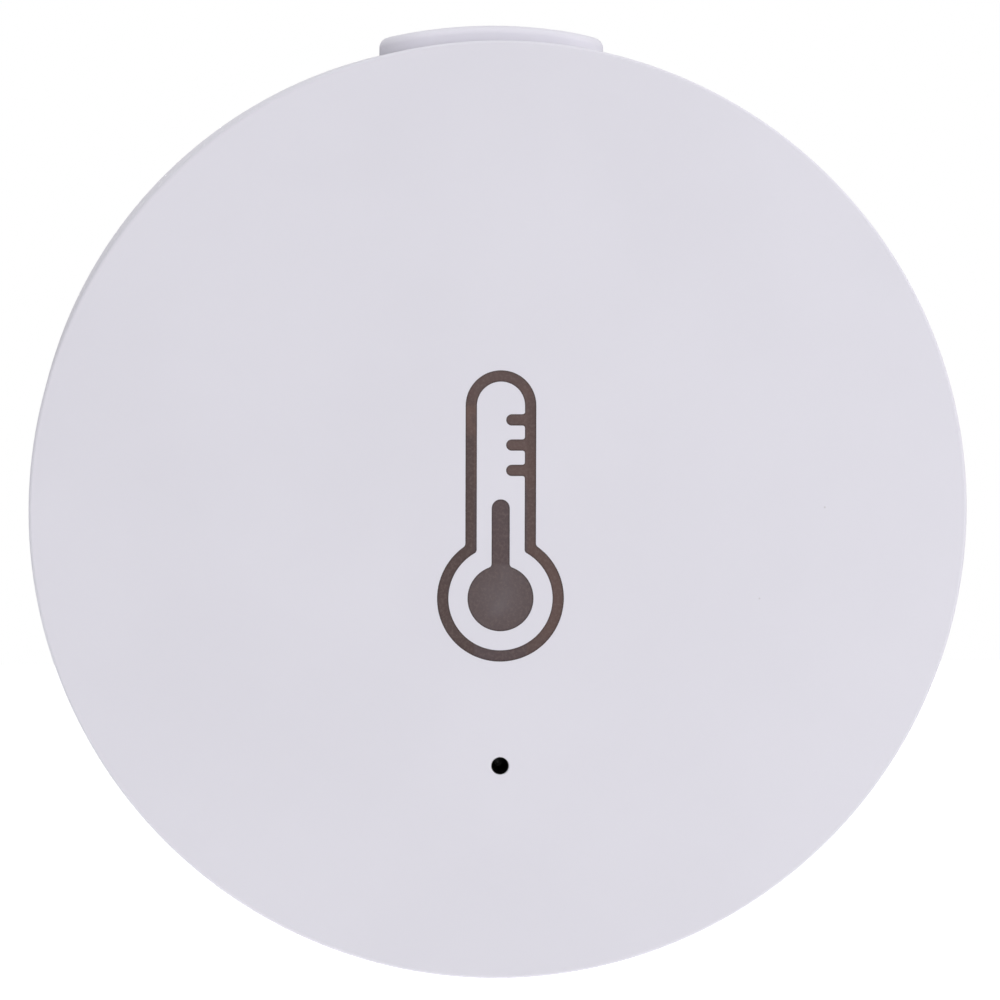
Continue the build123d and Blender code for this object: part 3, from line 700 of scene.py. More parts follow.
# %% Outlines
def rounded(corners, closed=False, steps=6):
    """An outline through corners (across, up, radius), each turned by an arc of its radius."""
    line = []
    for index, (across, up, radius) in enumerate(corners):
        here = Vector((across, up))
        if not radius:
            line.append(here)
            continue
        before = (Vector(corners[index - 1][:2]) - here).normalized()
        after = (Vector(corners[(index + 1) % len(corners)][:2]) - here).normalized()
        half = before.angle(after) / 2
        centre = here + (before + after).normalized() * radius / math.sin(half)
        start = here + before * radius / math.tan(half) - centre
        end = here + after * radius / math.tan(half) - centre
        sweep = math.atan2(start.x * end.y - start.y * end.x, start.dot(end))
        line += [centre + Matrix.Rotation(sweep * step / steps, 2) @ start for step in range(steps + 1)]
    return line + [line[0]] if closed else line


def oblong(half, low, high):
    """Corners of a rectangle, half of it on either side of the middle."""
    return [(-half, low), (half, low), (half, high), (-half, high)]


def circle(radius, centre=(0, 0), count=48):
    """Points round a circle."""
    turns = [2 * math.pi * step / count for step in range(count)]
    return [(centre[0] + radius * math.cos(turn), centre[1] + radius * math.sin(turn)) for turn in turns]


def pill(length, width, centre=(0, 0), upright=False, steps=12):
    """Points round a pill with round ends."""
    reach = (length - width) / 2
    line = []
    for side, first in ((1, -90), (-1, 90)):
        for step in range(steps + 1):
            turn = math.radians(first + 180 * step / steps)
            line.append((side * reach + width / 2 * math.cos(turn), width / 2 * math.sin(turn)))
    if upright:
        line = [(-up, across) for across, up in line]
    return [(centre[0] + across, centre[1] + up) for across, up in line]


def sector(inner, outer, middle, sweep, steps=24):
    """Points round a piece of a ring, with its middle at an angle from +X towards +Z."""
    turns = [math.radians(middle - sweep / 2 + sweep * step / steps) for step in range(steps + 1)]
    far = [(outer * math.cos(turn), outer * math.sin(turn)) for turn in turns]
    return far + [(inner * math.cos(turn), inner * math.sin(turn)) for turn in reversed(turns)]


def prism(name, outline, low, high, axis="Y"):
    """A straight solid on an outline: between two heights for axis Y, along Z from low to high for axis Z."""

    def place(point, level):
        return (point[0], -level, point[1]) if axis == "Y" else (point[0], point[1], level)

    count = len(outline)
    points = [place(point, level) for level in (low, high) for point in outline]
    walls = [(i, (i + 1) % count, count + (i + 1) % count, count + i) for i in range(count)]
    return piece(name, points, [tuple(range(count)), tuple(range(2 * count - 1, count - 1, -1))] + walls)


# %% [markdown]
# ## Recipes in Geometry Nodes
# Most of this object is turned: the casing, the cover, the ring, the cell and the screws are all an outline
# swept round an axis. So the lathe is a geometry-nodes recipe with named inputs. It lays a grid with one
# row for each point of the outline and one column for each step round the axis, and moves every point of
# the grid to its outline point, turned by its column's angle. Merging closes the seam and the poles.

# %% Recipe class
KINDS = {"Geometry": "NodeSocketGeometry", "Finish": "NodeSocketMaterial", "Template": "NodeSocketObject"}


class Recipe(Graph):
    """A geometry-nodes tree with named inputs that is run as a modifier and then made plain."""

    def __init__(self, name, **inputs):
        super().__init__(bpy.data.node_groups.new(name, "GeometryNodeTree"))
        self.keys = {}
        for title, kind in {"Geometry": "Geometry", **inputs, "Finish": "Finish"}.items():
            kind = KINDS.get(kind, "NodeSocket" + kind)
            socket = self.tree.interface.new_socket(title.replace("_", " "), in_out="INPUT", socket_type=kind)
            self.keys[title] = socket.identifier
        self.tree.interface.new_socket("Geometry", in_out="OUTPUT", socket_type="NodeSocketGeometry")
        self.given = self.node("NodeGroupInput")

    def input(self, title):
        return self.given.out(title.replace("_", " "))

    def end(self, geometry):
        """Close the tree: real geometry, smooth, in its finish."""
        real = self.node("GeometryNodeRealizeInstances", None, geometry)
        soft = self.node("GeometryNodeSetShadeSmooth", None, real)
        done = self.node("GeometryNodeSetMaterial", None, soft, Material=self.input("Finish"))
        self.feed(self.node("NodeGroupOutput").inputs[0], done)

    def run(self, made, slot, **values):
        """Set the inputs by their identifiers and turn the result into the object's own mesh."""
        modifier = made.modifiers.new(self.tree.name, "NODES")
        modifier.node_group = self.tree
        for title, value in {**values, "Finish": FINISHES[slot]}.items():
            modifier[self.keys[title]] = value
        return bake(made)


# %% The lathe
lathe = Recipe("lathe", Steps_round="Int")
profile = lathe.input("Geometry")
rows = lathe.node("GeometryNodeAttributeDomainSize", None, profile)
steps_round = lathe.input("Steps_round")
grid = lathe.node("GeometryNodeMeshGrid", None, 1.0, 1.0, steps_round + 1, rows)
place = lathe.node("ShaderNodeSeparateXYZ", None, lathe.node("GeometryNodeInputPosition"))
turned_by = (place.out("X") + 0.5) * (2 * math.pi)
row = ((place.out("Y") + 0.5) * (rows - 1)).round()
here = lathe.node("GeometryNodeInputPosition")
found = lathe.node("GeometryNodeSampleIndex", {"data_type": "FLOAT_VECTOR"}, profile, here, row)
outline_point = lathe.node("ShaderNodeSeparateXYZ", None, found)
radius, depth = outline_point.out("X"), outline_point.out("Y")
swept = lathe.node("ShaderNodeCombineXYZ", None, radius * turned_by.cos(), depth, radius * turned_by.sin())
moved = lathe.node("GeometryNodeSetPosition", None, grid, Position=swept)
lathe.end(lathe.node("GeometryNodeMergeByDistance", None, moved, Distance=WELD))


def turned(name, outline, slot="white_shell", steps=96, centre=(0, 0)):
    """A solid turned from an outline of (radius, height) points, about an axis through centre (x, z)."""
    points = [(radius, -height, 0) for radius, height in outline]
    made = piece_of_line(name, points)
    lathe.run(made, slot, Steps_round=steps)

    def work(form):
        bmesh.ops.recalc_face_normals(form, faces=form.faces)
        bmesh.ops.translate(form, verts=form.verts, vec=Vector((centre[0], 0, centre[1])) * MM)
    return edit(made, work)


def turned_part(node, name, outline, slot, steps):
    """A turned piece that rides on the casing, finished in one call."""
    finish(smooth(turned(name, outline, slot, steps)), slot, "casing", node)


def piece_of_line(name, points):
    """An object whose mesh is only a row of points joined by edges."""
    mesh = bpy.data.meshes.new(name)
    links = [(index, index + 1) for index in range(len(points) - 1)]
    mesh.from_pydata([Vector(point) * MM for point in points], links, [])
    return linked(name, mesh)


print("recipes ready")

# %% [markdown]
# ## Front casing
# The casing is a cup: a flat face, a rim that narrows a little towards the front so that it leaves the
# mould, and one small round all along the front edge, which is what catches the light. It is turned by the
# lathe in one outline. The screw bosses and the socket of the light guide are welded inside, and then the
# openings are cut: the button's slot, the air slots, the pin-hole, the hook pockets and the foil's bed.

# %% Casing outline
EDGE_ROUND = 0.12
SCREW_CIRCLE = 14.3
CORNERS = (45, 135, 225, 315)
SCREWS = [
    (SCREW_CIRCLE * math.cos(math.radians(turn)), SCREW_CIRCLE * math.sin(math.radians(turn)))
    for turn in CORNERS
]
PLATE_TOP = back + 1.5
CEILING = front - 1.2
CAVITY = 16.6
REBATE = 17.1
LIGHT = (0, -9.735)
LIGHT_RADIUS = 0.338
BOSS, SCREW_BORE, BORE_DEPTH = 1.25, 0.52, 2.42
GUIDE, GUIDE_GAP, GUIDE_WALL, SOCKET_DEPTH = 0.7, 0.02, 0.55, 1.5
SWITCH_MIDDLE = 6.0
PAST = 0.2

cup = rounded([
    (0, front, 0),
    (front_radius, front, EDGE_ROUND),
    (back_radius, back, 0.1),
    (REBATE, back, 0.06),
    (REBATE, PLATE_TOP, 0),
    (CAVITY, PLATE_TOP, 0.06),
    (CAVITY, CEILING, 0.4),
    (0, CEILING, 0),
])
casing = turned("front_casing", cup, steps=256)
edit(casing, flatten)
print("casing outline points:", len(cup))

# %% Bosses and light socket
bore = GUIDE + GUIDE_GAP
inside = [prism("boss", circle(BOSS, centre), board_front, CEILING + PAST) for centre in SCREWS]
inside.append(prism("light_socket", circle(bore + GUIDE_WALL, LIGHT), CEILING - SOCKET_DEPTH, CEILING + PAST))
combine(casing, inside, "UNION")
bores = [
    prism("screw_bore", circle(SCREW_BORE, centre, 32), board_front - 0.1, board_front + BORE_DEPTH)
    for centre in SCREWS
]
bores.append(prism("guide_bore", circle(bore, LIGHT), CEILING - SOCKET_DEPTH - 0.1, CEILING))
bores.append(prism("light_hole", circle(LIGHT_RADIUS, LIGHT, 64), CEILING - PAST, front + PAST))
combine(casing, bores)
print("casing with bosses:", len(casing.data.polygons))

# %% Button slot, air slots and hook pockets
BUTTON_LENGTH, BUTTON_WIDTH, BUTTON_GAP = 8.76, 3.6, 0.15
AIR_SLOTS, AIR_LENGTH, AIR_WIDTH, AIR_PITCH, AIR_MIDDLE = 5, 2.2, 0.7, 1.3, 9.1
HOOK_INNER, HOOK_OUTER, HOOK_SPREAD, HOOK_LOW, HOOK_HIGH = 15.78, 16.88, 10.55, 3.45, 4.35
BUTTON_CUT, AIR_CUT = (15.5, 19.5), (-19.0, -15.7)
slot_size = (BUTTON_LENGTH + 2 * BUTTON_GAP, BUTTON_WIDTH + 2 * BUTTON_GAP)
openings = [prism("button_slot", pill(*slot_size, (0, -SWITCH_MIDDLE), steps=20), *BUTTON_CUT, "Z")]
for index in range(AIR_SLOTS):
    place = ((index - AIR_SLOTS // 2) * AIR_PITCH, -AIR_MIDDLE)
    openings.append(prism("air_slot", pill(AIR_LENGTH, AIR_WIDTH, place, upright=True), *AIR_CUT, "Z"))
for corner in CORNERS:
    outline = sector(HOOK_INNER, HOOK_OUTER, corner, HOOK_SPREAD, 12)
    openings.append(prism("hook_pocket", outline, HOOK_LOW, HOOK_HIGH))
combine(casing, openings)


def at_rim(x, y, z):
    """On the outside of the rim, but not on the casing's own front and back edges."""
    return math.hypot(x, z) > 17.5 and back + 0.4 < -y < front - 0.4


def at_light_hole(x, y, z):
    return -y > front - 0.01 and math.hypot(x - LIGHT[0], z - LIGHT[1]) < LIGHT_RADIUS + 0.02


soften(casing, at_rim, 0.05, steps=2)
soften(casing, at_light_hole, 0.05, steps=3)
print("casing with openings:", len(casing.data.polygons))

# %% [markdown]
# ## Thermometer
# The pictogram is one outline for the outside of the tube and bulb ring, one for their inside with three
# ticks that grow from the right wall, and one for the liquid. The foil lies a little way in a shallow bed
# pressed by the same die. Each face of the foil has a narrow border along its outline that carries the rim
# value, so the finish can paint that border darker, as painted shade along the edge of the bed.

# %% Thermometer outlines
STROKE = 0.435
RING_RADIUS = 2.43
RING_DOWN = 3.29
TUBE_HALF = 1.352
TUBE_TOP = 5.435
TICKS = (3.54, 2.58, 1.61)
TICK_START = 0.2
LIQUID_HALF = 0.3475
LIQUID_TOP = 0.505
LIQUID_BULB = 1.265
LIQUID_NECK = 0.15
CORNER = 0.1
foil_face = front - 0.03
foil_base = foil_face - 0.06
bed_top = front + 0.05


def bow(centre, radius, start, end, steps):
    """Points along an arc from one angle to another, in degrees."""
    turns = [math.radians(start + (end - start) * step / steps) for step in range(steps + 1)]
    across, up = centre
    return [Vector((across + radius * math.cos(turn), up + radius * math.sin(turn))) for turn in turns]


def eased(line, reach=CORNER):
    """The same outline with each sharp corner cut by a short curve."""
    made = []
    for index, here in enumerate(line):
        before = line[index - 1] - here
        after = line[(index + 1) % len(line)] - here
        if before.angle(after) > math.radians(150):
            made.append(here)
            continue
        start = before.normalized() * min(reach, before.length * 0.9)
        end = after.normalized() * min(reach, after.length * 0.9)
        made += [here + start * (1 - step / 4) ** 2 + end * (step / 4) ** 2 for step in range(5)]
    return made


def tube(inset, ticks=()):
    """The tube that opens into the ring, drawn in by inset, anticlockwise from the top of its right wall."""
    ring_radius, half = RING_RADIUS - inset, TUBE_HALF - inset
    cap = TUBE_TOP - TUBE_HALF
    meet = math.degrees(math.asin(half / ring_radius))
    line = bow((0, cap), half, 0, 180, 40)
    line += bow((0, -RING_DOWN), ring_radius, 90 + meet, 450 - meet, 90)
    for up in sorted(ticks):
        line += [Vector((half, up - STROKE / 2))]
        line += bow((TICK_START + STROKE / 2, up), STROKE / 2, 270, 90, 14)
        line += [Vector((half, up + STROKE / 2))]
    return eased(line)


def liquid(grow=0.0):
    """The bulb, its short rounded neck and the column, drawn out by grow."""
    half, bulb, neck = LIQUID_HALF + grow, LIQUID_BULB + grow, LIQUID_NECK - grow
    reach = math.sqrt((bulb + neck) ** 2 - (half + neck) ** 2)
    lean = math.degrees(math.atan2(reach, half + neck))
    top = LIQUID_TOP - LIQUID_HALF
    line = bow((0, top), half, 0, 180, 24)
    line += bow((-half - neck, -RING_DOWN + reach), neck, 0, -lean, 8)
    line += bow((0, -RING_DOWN), bulb, 180 - lean, 360 + lean, 72)[1:-1]
    line += bow((half + neck, -RING_DOWN + reach), neck, 180 + lean, 180, 8)
    return line


def drawn_in(line, inset):
    """The same outline moved to its left by inset, point for point."""
    moved = []
    for index, here in enumerate(line):
        along = (line[(index + 1) % len(line)] - line[index - 1]).normalized()
        moved.append(here + Vector((-along.y, along.x)) * inset)
    return moved


def plate(name, outlines, low, high, border=0.0):
    """A thin plate on outlines, the first of each group its outside. A border splits off a rim of its top."""
    form = bmesh.new()
    rim = form.verts.layers.float.new("rim")
    for group in outlines:
        tops, floors = [], []
        for index, line in enumerate(group):
            inward = border if index == 0 else -border
            floor = [form.verts.new((point.x, -low, point.y)) for point in line]
            edge = [form.verts.new((point.x, -high + (0.012 if border else 0), point.y)) for point in line]
            loops = [floor, edge]
            if border:
                loops.append([form.verts.new((p.x, -high, p.y)) for p in drawn_in(line, inward * 0.25)])
                loops.append([form.verts.new((p.x, -high, p.y)) for p in drawn_in(line, inward)])
                # These border points carry the rim value, which the foil finish paints darker as painted
                # shade.
                for vert in edge + loops[2]:
                    vert[rim] = 1.0
            for first, second in zip(loops, loops[1:]):
                for at in range(len(line)):
                    beyond = (at + 1) % len(line)
                    form.faces.new((first[at], first[beyond], second[beyond], second[at]))
            floors.append(floor)
            tops.append(loops[-1])
        for loops in (floors, tops):
            rims = [form.edges.get((loop[i - 1], loop[i])) for loop in loops for i in range(len(loop))]
            bmesh.ops.triangle_fill(form, edges=rims, use_beauty=True, use_dissolve=False)
    bmesh.ops.recalc_face_normals(form, faces=form.faces)
    bmesh.ops.scale(form, verts=form.verts, vec=Vector((MM, MM, MM)))
    mesh = bpy.data.meshes.new(name)
    form.to_mesh(mesh)
    form.free()
    return linked(name, mesh)


walls = [tube(0), tube(STROKE, TICKS)]
bed = [plate("tube_bed", [walls], foil_base, bed_top), plate("liquid_bed", [[liquid()]], foil_base, bed_top)]
combine(casing, bed)
smooth(casing)
finish(casing, "white_shell", "casing", "front_shell")
thermometer = plate("thermometer_foil", [walls, [liquid()]], foil_base, foil_face, border=0.07)
smooth(thermometer, angle=50)
finish(thermometer, "brown_foil", "casing", "thermometer_print")

# %% [markdown]
# ## Push button
# The button is a pill seen from above, and its top follows the rim's curve, so it can't be turned. It is
# built as a ladder: stations run along the pill from one tip to the other, each with a point at the front
# and one behind. The fillet round its top is a stack of outlines, each a little further in and higher, and
# the last one is closed by the ladder's rungs. A flange that keeps it in the slot and a short stem follow.

# %% Push button
BUTTON_TOP = span("button_key", "Z")[1]
BUTTON_ROUND, ROUND_STEPS = 0.32, 8
FLANGE = (16.0, 16.5)
FLANGE_OVER = 0.85
STEM_TIP, STEM_ROOT, STEM_HALF, STEM_DEPTH = 15.82, 16.2, 0.8, 0.5


def pill_stations(inset, straight=26, ends=10):
    """(across, half width) at stations from the left tip to the right tip."""
    reach = (BUTTON_LENGTH - BUTTON_WIDTH) / 2
    half = BUTTON_WIDTH / 2 - inset
    tips = [math.radians(90 * step / ends) for step in range(ends + 1)]
    left_end = [(-reach - half * math.cos(tip), half * math.sin(tip)) for tip in tips]
    middle = [(reach * (2 * step / straight - 1), half) for step in range(1, straight)]
    return left_end + middle + [(-across, width) for across, width in reversed(left_end)]


def button_cap():
    """The pill from inside the flange to its rounded top."""
    levels = [(0.0, None)]
    for step in range(ROUND_STEPS + 1):
        turn = math.radians(90 * step / ROUND_STEPS)
        levels.append((BUTTON_ROUND * (1 - math.cos(turn)), BUTTON_ROUND * (1 - math.sin(turn))))
    points, rings = [], []
    for inset, drop in levels:
        stations = pill_stations(inset)
        ring = []
        for across, half in stations:
            surface = (FLANGE[1] - PAST) if drop is None else BUTTON_TOP
            up = math.sqrt(surface ** 2 - across ** 2) - (drop or 0)
            ring.append((across, -SWITCH_MIDDLE - half, up))
        back_row = [(x, -2 * SWITCH_MIDDLE - y, z) for x, y, z in reversed(ring[1:-1])]
        rings.append(range(len(points), len(points) + len(ring) + len(back_row)))
        points += ring + back_row
    faces = []
    for low, high in zip(rings, rings[1:]):
        for at in range(len(low)):
            beyond = (at + 1) % len(low)
            faces.append((low[at], low[beyond], high[beyond], high[at]))
    for ring in (rings[0], rings[-1]):
        count = len(ring)
        half = count // 2
        for at in range(half):
            rung = [ring[at], ring[at + 1], ring[-(at + 1) % count], ring[-at % count]]
            faces.append(tuple(dict.fromkeys(rung)))
    return piece("push_button", points, faces)


button = button_cap()
flange_reach = BUTTON_LENGTH / 2 + FLANGE_OVER
flange_half = BUTTON_WIDTH / 2 + FLANGE_OVER
flange_sweep = 2 * math.degrees(math.asin(flange_reach / FLANGE[1]))
flange_outline = sector(*FLANGE, 90, flange_sweep, 48)
stem_outline = oblong(STEM_HALF, STEM_TIP, STEM_ROOT)
parts = [
    prism("flange", flange_outline, SWITCH_MIDDLE - flange_half, SWITCH_MIDDLE + flange_half),
    prism("stem", stem_outline, SWITCH_MIDDLE - STEM_DEPTH, SWITCH_MIDDLE + STEM_DEPTH),
]
combine(button, parts, "UNION")
smooth(button)
finish(button, "white_shell", "button", "button_key")

# %% [markdown]
# ## Back plate, battery cover and adhesive ring
# The two moulded pieces at the back have many small steps, and their solids already have the right shape.
# A merged copy gets the small rounds that a mould leaves and smooth shading, which is enough at this size.
# The adhesive ring is soft: the lathe turns it, and then its cut walls are moved a few hundredths of a
# millimetre by noise, as a stamped foam edge is never quite straight.

# %% Back plate and battery cover
finish(copy_of("rear_shell", "back_plate", 0.05), "white_shell", "casing", "rear_shell")
finish(copy_of("battery_cover", "battery_lid", 0.08, 3), "white_shell", "cover", "battery_cover")

# %% Soft pieces
def ruffle(made, reach, grain, seed=3):
    """Move the points of a foam piece inwards by up to reach, by noise of one grain, in millimetres."""

    def work(form):
        form.normal_update()
        offset = Vector((seed, seed, seed))
        for vert in form.verts:
            push = 0.5 + 0.5 * noise.noise(vert.co / (grain * MM) + offset)
            vert.co -= vert.normal * push * reach * MM
    return edit(made, work)


ring_low, ring_high = heights("adhesive_ring")
RING_INNER, RING_OUTER = 13.2, span("adhesive_ring", "Z")[1]
ring_outline = []
sides = [(RING_INNER, ring_low), (RING_OUTER, ring_low), (RING_OUTER, ring_high), (RING_INNER, ring_high)]
for first, second in zip(sides, sides[1:] + sides[:1]):
    cuts = 10 if first[1] == second[1] else 5
    for step in range(cuts):
        share = step / cuts
        ring_outline.append(tuple(a + (b - a) * share for a, b in zip(first, second)))
ring_outline.append(ring_outline[0])
adhesive = turned("adhesive_foam_ring", ring_outline, "adhesive_foam", steps=240)
ruffle(adhesive, 0.03, 0.35)
smooth(adhesive, angle=50, round_edges=0.04)
finish(adhesive, "adhesive_foam", "casing", "adhesive_ring")


def foam_copy(node, name, slot, body, cut=0.5):
    """A foam piece from its solid: cut into small faces, ruffled, smoothed."""
    made = linked(name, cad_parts[node].data.copy())

    def work(form):
        bmesh.ops.remove_doubles(form, verts=form.verts, dist=COPY_WELD)
        for _ in range(4):
            long_edges = [edge for edge in form.edges if edge.calc_length() > cut * MM]
            bmesh.ops.subdivide_edges(form, edges=long_edges, cuts=1, use_grid_fill=False)
            bmesh.ops.triangulate(form, faces=[face for face in form.faces if len(face.verts) > 3])
    edit(made, work)
    ruffle(made, 0.03, 0.3, seed=5)
    smooth(made, angle=50)
    return finish(made, slot, body, node)


foam_copy("sensor_gasket", "sensor_foam_fence", "grey_foam", "casing")
foam_copy("cover_cushion", "lid_foam_disc", "grey_foam", "cover")

# %% [markdown]
# ## Dust mesh
# Behind the air slots a woven black mesh is glued to the wall. Each thread is a line of points, lifted and
# lowered in turn as it goes over and under the others, then given a round section. One recipe makes both
# sets of threads: it lays straight lines on a flat sheet and rolls the sheet onto the wall's radius.

# %% Dust mesh
MESH_PITCH = 0.16
THREAD = 0.026
weaver = Recipe(
    "weave", Threads="Int", Points="Int", Thread_gap="Vector", Point_gap="Vector", Start="Vector",
    Wave="Float", Phase="Float", Wall_radius="Float", Thread_radius="Float",
)
spread = weaver.node(
    "GeometryNodeMeshLine", None, weaver.input("Threads"), weaver.input("Start"), weaver.input("Thread_gap"),
)
thread = weaver.node(
    "GeometryNodeMeshLine", None, weaver.input("Points"), (0, 0, 0), weaver.input("Point_gap"),
)
repeated = weaver.node("GeometryNodeInstanceOnPoints", None, spread, Instance=thread)
laid = weaver.node("GeometryNodeRealizeInstances", None, repeated)
flat = weaver.node("ShaderNodeSeparateXYZ", None, weaver.node("GeometryNodeInputPosition"))
across, level = flat.out("X"), flat.out("Y")
wave_turn = math.pi / (MESH_PITCH * MM)
ripple = (across * wave_turn).cos() * (level * wave_turn).cos() * weaver.input("Wave") * weaver.input("Phase")
wall = weaver.input("Wall_radius")
swing = across / wall
rolled = weaver.node(
    "ShaderNodeCombineXYZ", None, (wall + ripple) * swing.sin(), level, (wall + ripple) * swing.cos() * -1.0,
)
moved = weaver.node("GeometryNodeSetPosition", None, laid, Position=rolled)
lines = weaver.node("GeometryNodeMeshToCurve", None, moved)
thickness = weaver.input("Thread_radius")
section = weaver.node("GeometryNodeCurvePrimitiveCircle", None, Resolution=5, Radius=thickness)
weaver.end(weaver.node("GeometryNodeCurveToMesh", None, lines, section, Fill_Caps=True))

mesh_low, mesh_high = heights("dust_mesh")
mesh_half = span("dust_mesh", "X")[1]
mesh_radius = CAVITY - 0.06
mesh_reach = mesh_radius * math.asin(mesh_half / CAVITY)
across_count = int(2 * mesh_reach / MESH_PITCH) - 1
along_count = int((mesh_high - mesh_low) / MESH_PITCH) - 1
first_across = -(across_count // 2) * MESH_PITCH
first_level = -MESH_PITCH * round((mesh_low + mesh_high) / 2 / MESH_PITCH) - (along_count // 2) * MESH_PITCH
start = Vector((first_across, first_level, 0)) * MM
woven = []
for name, threads, points, thread_gap, point_gap, phase in (
    ("upright_threads", across_count, along_count * 2 - 1, (MESH_PITCH, 0, 0), (0, MESH_PITCH / 2, 0), 1.0),
    ("level_threads", along_count, across_count * 2 - 1, (0, MESH_PITCH, 0), (MESH_PITCH / 2, 0, 0), -1.0),
):
    made = piece_of_line(name, [(0, 0, 0)])
    weaver.run(
        made, "black_mesh", Threads=threads, Points=points, Thread_gap=tuple(v * MM for v in thread_gap),
        Point_gap=tuple(v * MM for v in point_gap), Start=tuple(start), Wave=THREAD * MM, Phase=phase,
        Wall_radius=mesh_radius * MM, Thread_radius=THREAD * MM,
    )
    woven.append(made)


def merge(name, group):
    """One object from several."""
    form = bmesh.new()
    for made in group:
        form.from_mesh(made.data)
        bpy.data.objects.remove(made)
    mesh = bpy.data.meshes.new(name)
    form.to_mesh(mesh)
    form.free()
    for polygon in mesh.polygons:
        polygon.use_smooth = True
    return linked(name, mesh)


finish(merge("woven_dust_mesh", woven), "black_mesh", "casing", "dust_mesh")

# %% [markdown]
# ## Light guide and status light
# The guide is a stepped pin of smoked plastic. Its nose lines the pin-hole and is hollowed to a deep cone,
# which spreads the lamp's light to the sides, and swallows what falls in from outside, so that the hole
# looks black when the lamp is off. The status light under it is a white box, a copy of its solid in one white
# finish.

# %% Light guide and status light
guide_low = heights("light_guide")[0]
nose = LIGHT_RADIUS - 0.008
guide_line = rounded([
    (0, guide_low, 0), (GUIDE, guide_low, 0.06), (GUIDE, CEILING, 0.06), (nose, CEILING, 0.04),
    (nose, front - 0.06, 0), (nose - 0.02, front - 0.06, 0), (0.12, CEILING - 0.1, 0), (0, CEILING - 0.4, 0),
])
guide_pin = turned("light_guide_pin", guide_line, "clear_plastic", steps=64, centre=LIGHT)
finish(smooth(guide_pin), "clear_plastic", "casing", "light_guide")
finish(copy_of("status_led", "status_light", 0.04), "led_white", "casing", "status_led")

# %% [markdown]
# ## Screws
# Four pan-head screws hold the board. One screw is turned, its thread as a row of ridges, and a cross is
# cut in its head. A second recipe puts copies of a template on the points of a mesh, each turned about the
# Y axis by the point's own value.

# %% Placing recipe
placer = Recipe("place_copies", Template="Template")
model = placer.node("GeometryNodeObjectInfo", None, placer.input("Template")).out("Geometry")
angle = placer.node("GeometryNodeInputNamedAttribute", {"data_type": "FLOAT"}, "turn")
facing = placer.node("ShaderNodeCombineXYZ", None, 0.0, angle, 0.0)
spots = placer.input("Geometry")
placer.end(placer.node("GeometryNodeInstanceOnPoints", None, spots, Instance=model, Rotation=facing))


def placed(name, template, slot, places):
    """Copies of a template at places (x, height, z, degrees). The template is thrown away."""
    made = piece_of_line(name, [(x, -height, z) for x, height, z, _ in places])
    turns = made.data.attributes.new("turn", "FLOAT", "POINT")
    for value, (*_, degrees) in zip(turns.data, places):
        value.value = math.radians(-degrees)
    placer.run(made, slot, Template=template)
    bpy.data.objects.remove(template)
    return made


# %% Screws
HEAD, CROWN, NECK, ROOT, CREST, TIP = 1.15, 0.8, 0.46, 0.42, 0.5, 0.2
THREAD_PITCH, CROSS_DEPTH = 0.3, 0.3
screw_low, screw_high = heights("board_screws")
head = board_rear - screw_low
shank = screw_high - board_rear
ridges = []
at = board_front - board_rear + 0.1
while at < shank - 0.45:
    ridges += [(ROOT, -at, 0), (CREST, -at - 0.12, 0.02), (ROOT, -at - 0.24, 0)]
    at += THREAD_PITCH
screw_line = rounded([
    (0, head, 0), (CROWN, head, 0.3), (HEAD, head - 0.35, 0.15), (HEAD, 0, 0.05), (NECK, 0, 0.04),
    *ridges, (ROOT, -shank + 0.25, 0), (TIP, -shank, 0.05), (0, -shank, 0),
], steps=4)
screw = turned("screw_template", [(radius, -height) for radius, height in screw_line], "zinc_steel", steps=32)
cross = []
for half, deep in ((0.8, 0.15), (0.15, 0.8)):
    cross.append(prism("cross", oblong(half, -deep, deep), -head - 0.1, -head + CROSS_DEPTH))
combine(screw, cross)
screws = placed("board_screw_set", screw, "zinc_steel", [(x, board_rear, z, 45) for x, z in SCREWS])
finish(smooth(screws), "zinc_steel", "casing", "board_screws")

# %% [markdown]
# ## Coin cell
# The cell is all turned metal: a can whose edge is rolled in over a plastic seal, a lid with a soft
# shoulder, and inside it the pressed cathode, a fleece and the lithium. Rounds at the bends are what tells
# drawn sheet from turned bar.

# %% Coin cell
cell_low, can_lip = heights("cell_can")
lid_foot, cell_high = heights("cell_cap")
CELL, LID, WALL_SHEET = 10.0, 8.9, 0.25
can_line = rounded([
    (0, cell_low, 0), (CELL, cell_low, 0.35), (CELL, can_lip, 0.3), (CELL - 0.9, can_lip, 0.1),
    (CELL - 0.9, can_lip - WALL_SHEET, 0.1), (CELL - WALL_SHEET, can_lip - WALL_SHEET, 0.08),
    (CELL - WALL_SHEET, cell_low + WALL_SHEET, 0.1), (0, cell_low + WALL_SHEET, 0),
])
turned_part("cell_can", "cell_can_drawn", can_line, "cell_steel", 144)
lid_line = rounded([
    (0, cell_high, 0), (LID, cell_high, 0.3), (LID, lid_foot, 0.05), (LID - WALL_SHEET, lid_foot, 0.05),
    (LID - WALL_SHEET, cell_high - WALL_SHEET, 0.1), (0, cell_high - WALL_SHEET, 0),
])
turned_part("cell_cap", "cell_lid", lid_line, "cell_steel", 144)
for node, name, slot in (
    ("cell_cathode", "cathode_tablet", "cathode_pellet"),
    ("cell_separator", "separator_fleece", "white_fleece"),
    ("cell_anode", "lithium_disc", "lithium_metal"),
):
    low, high = heights(node)
    edge = min(0.1, (high - low) * 0.4)
    reach = span(node, "Z")[1]
    disc = rounded([(0, high, 0), (reach, high, edge), (reach, low, edge), (0, low, 0)])
    turned_part(node, name, disc, slot, 120)
finish(copy_of("cell_gasket", "cell_seal", 0.04), "seal_plastic", "casing", "cell_gasket")

# %% [markdown]
# ## Circuit board and what it carries
# Chips, crystals and the switch are small boxes, so their edges are broken and their pins added. Pins,
# end caps and vias repeat by the dozen: each kind is one small template put in place by the recipe.

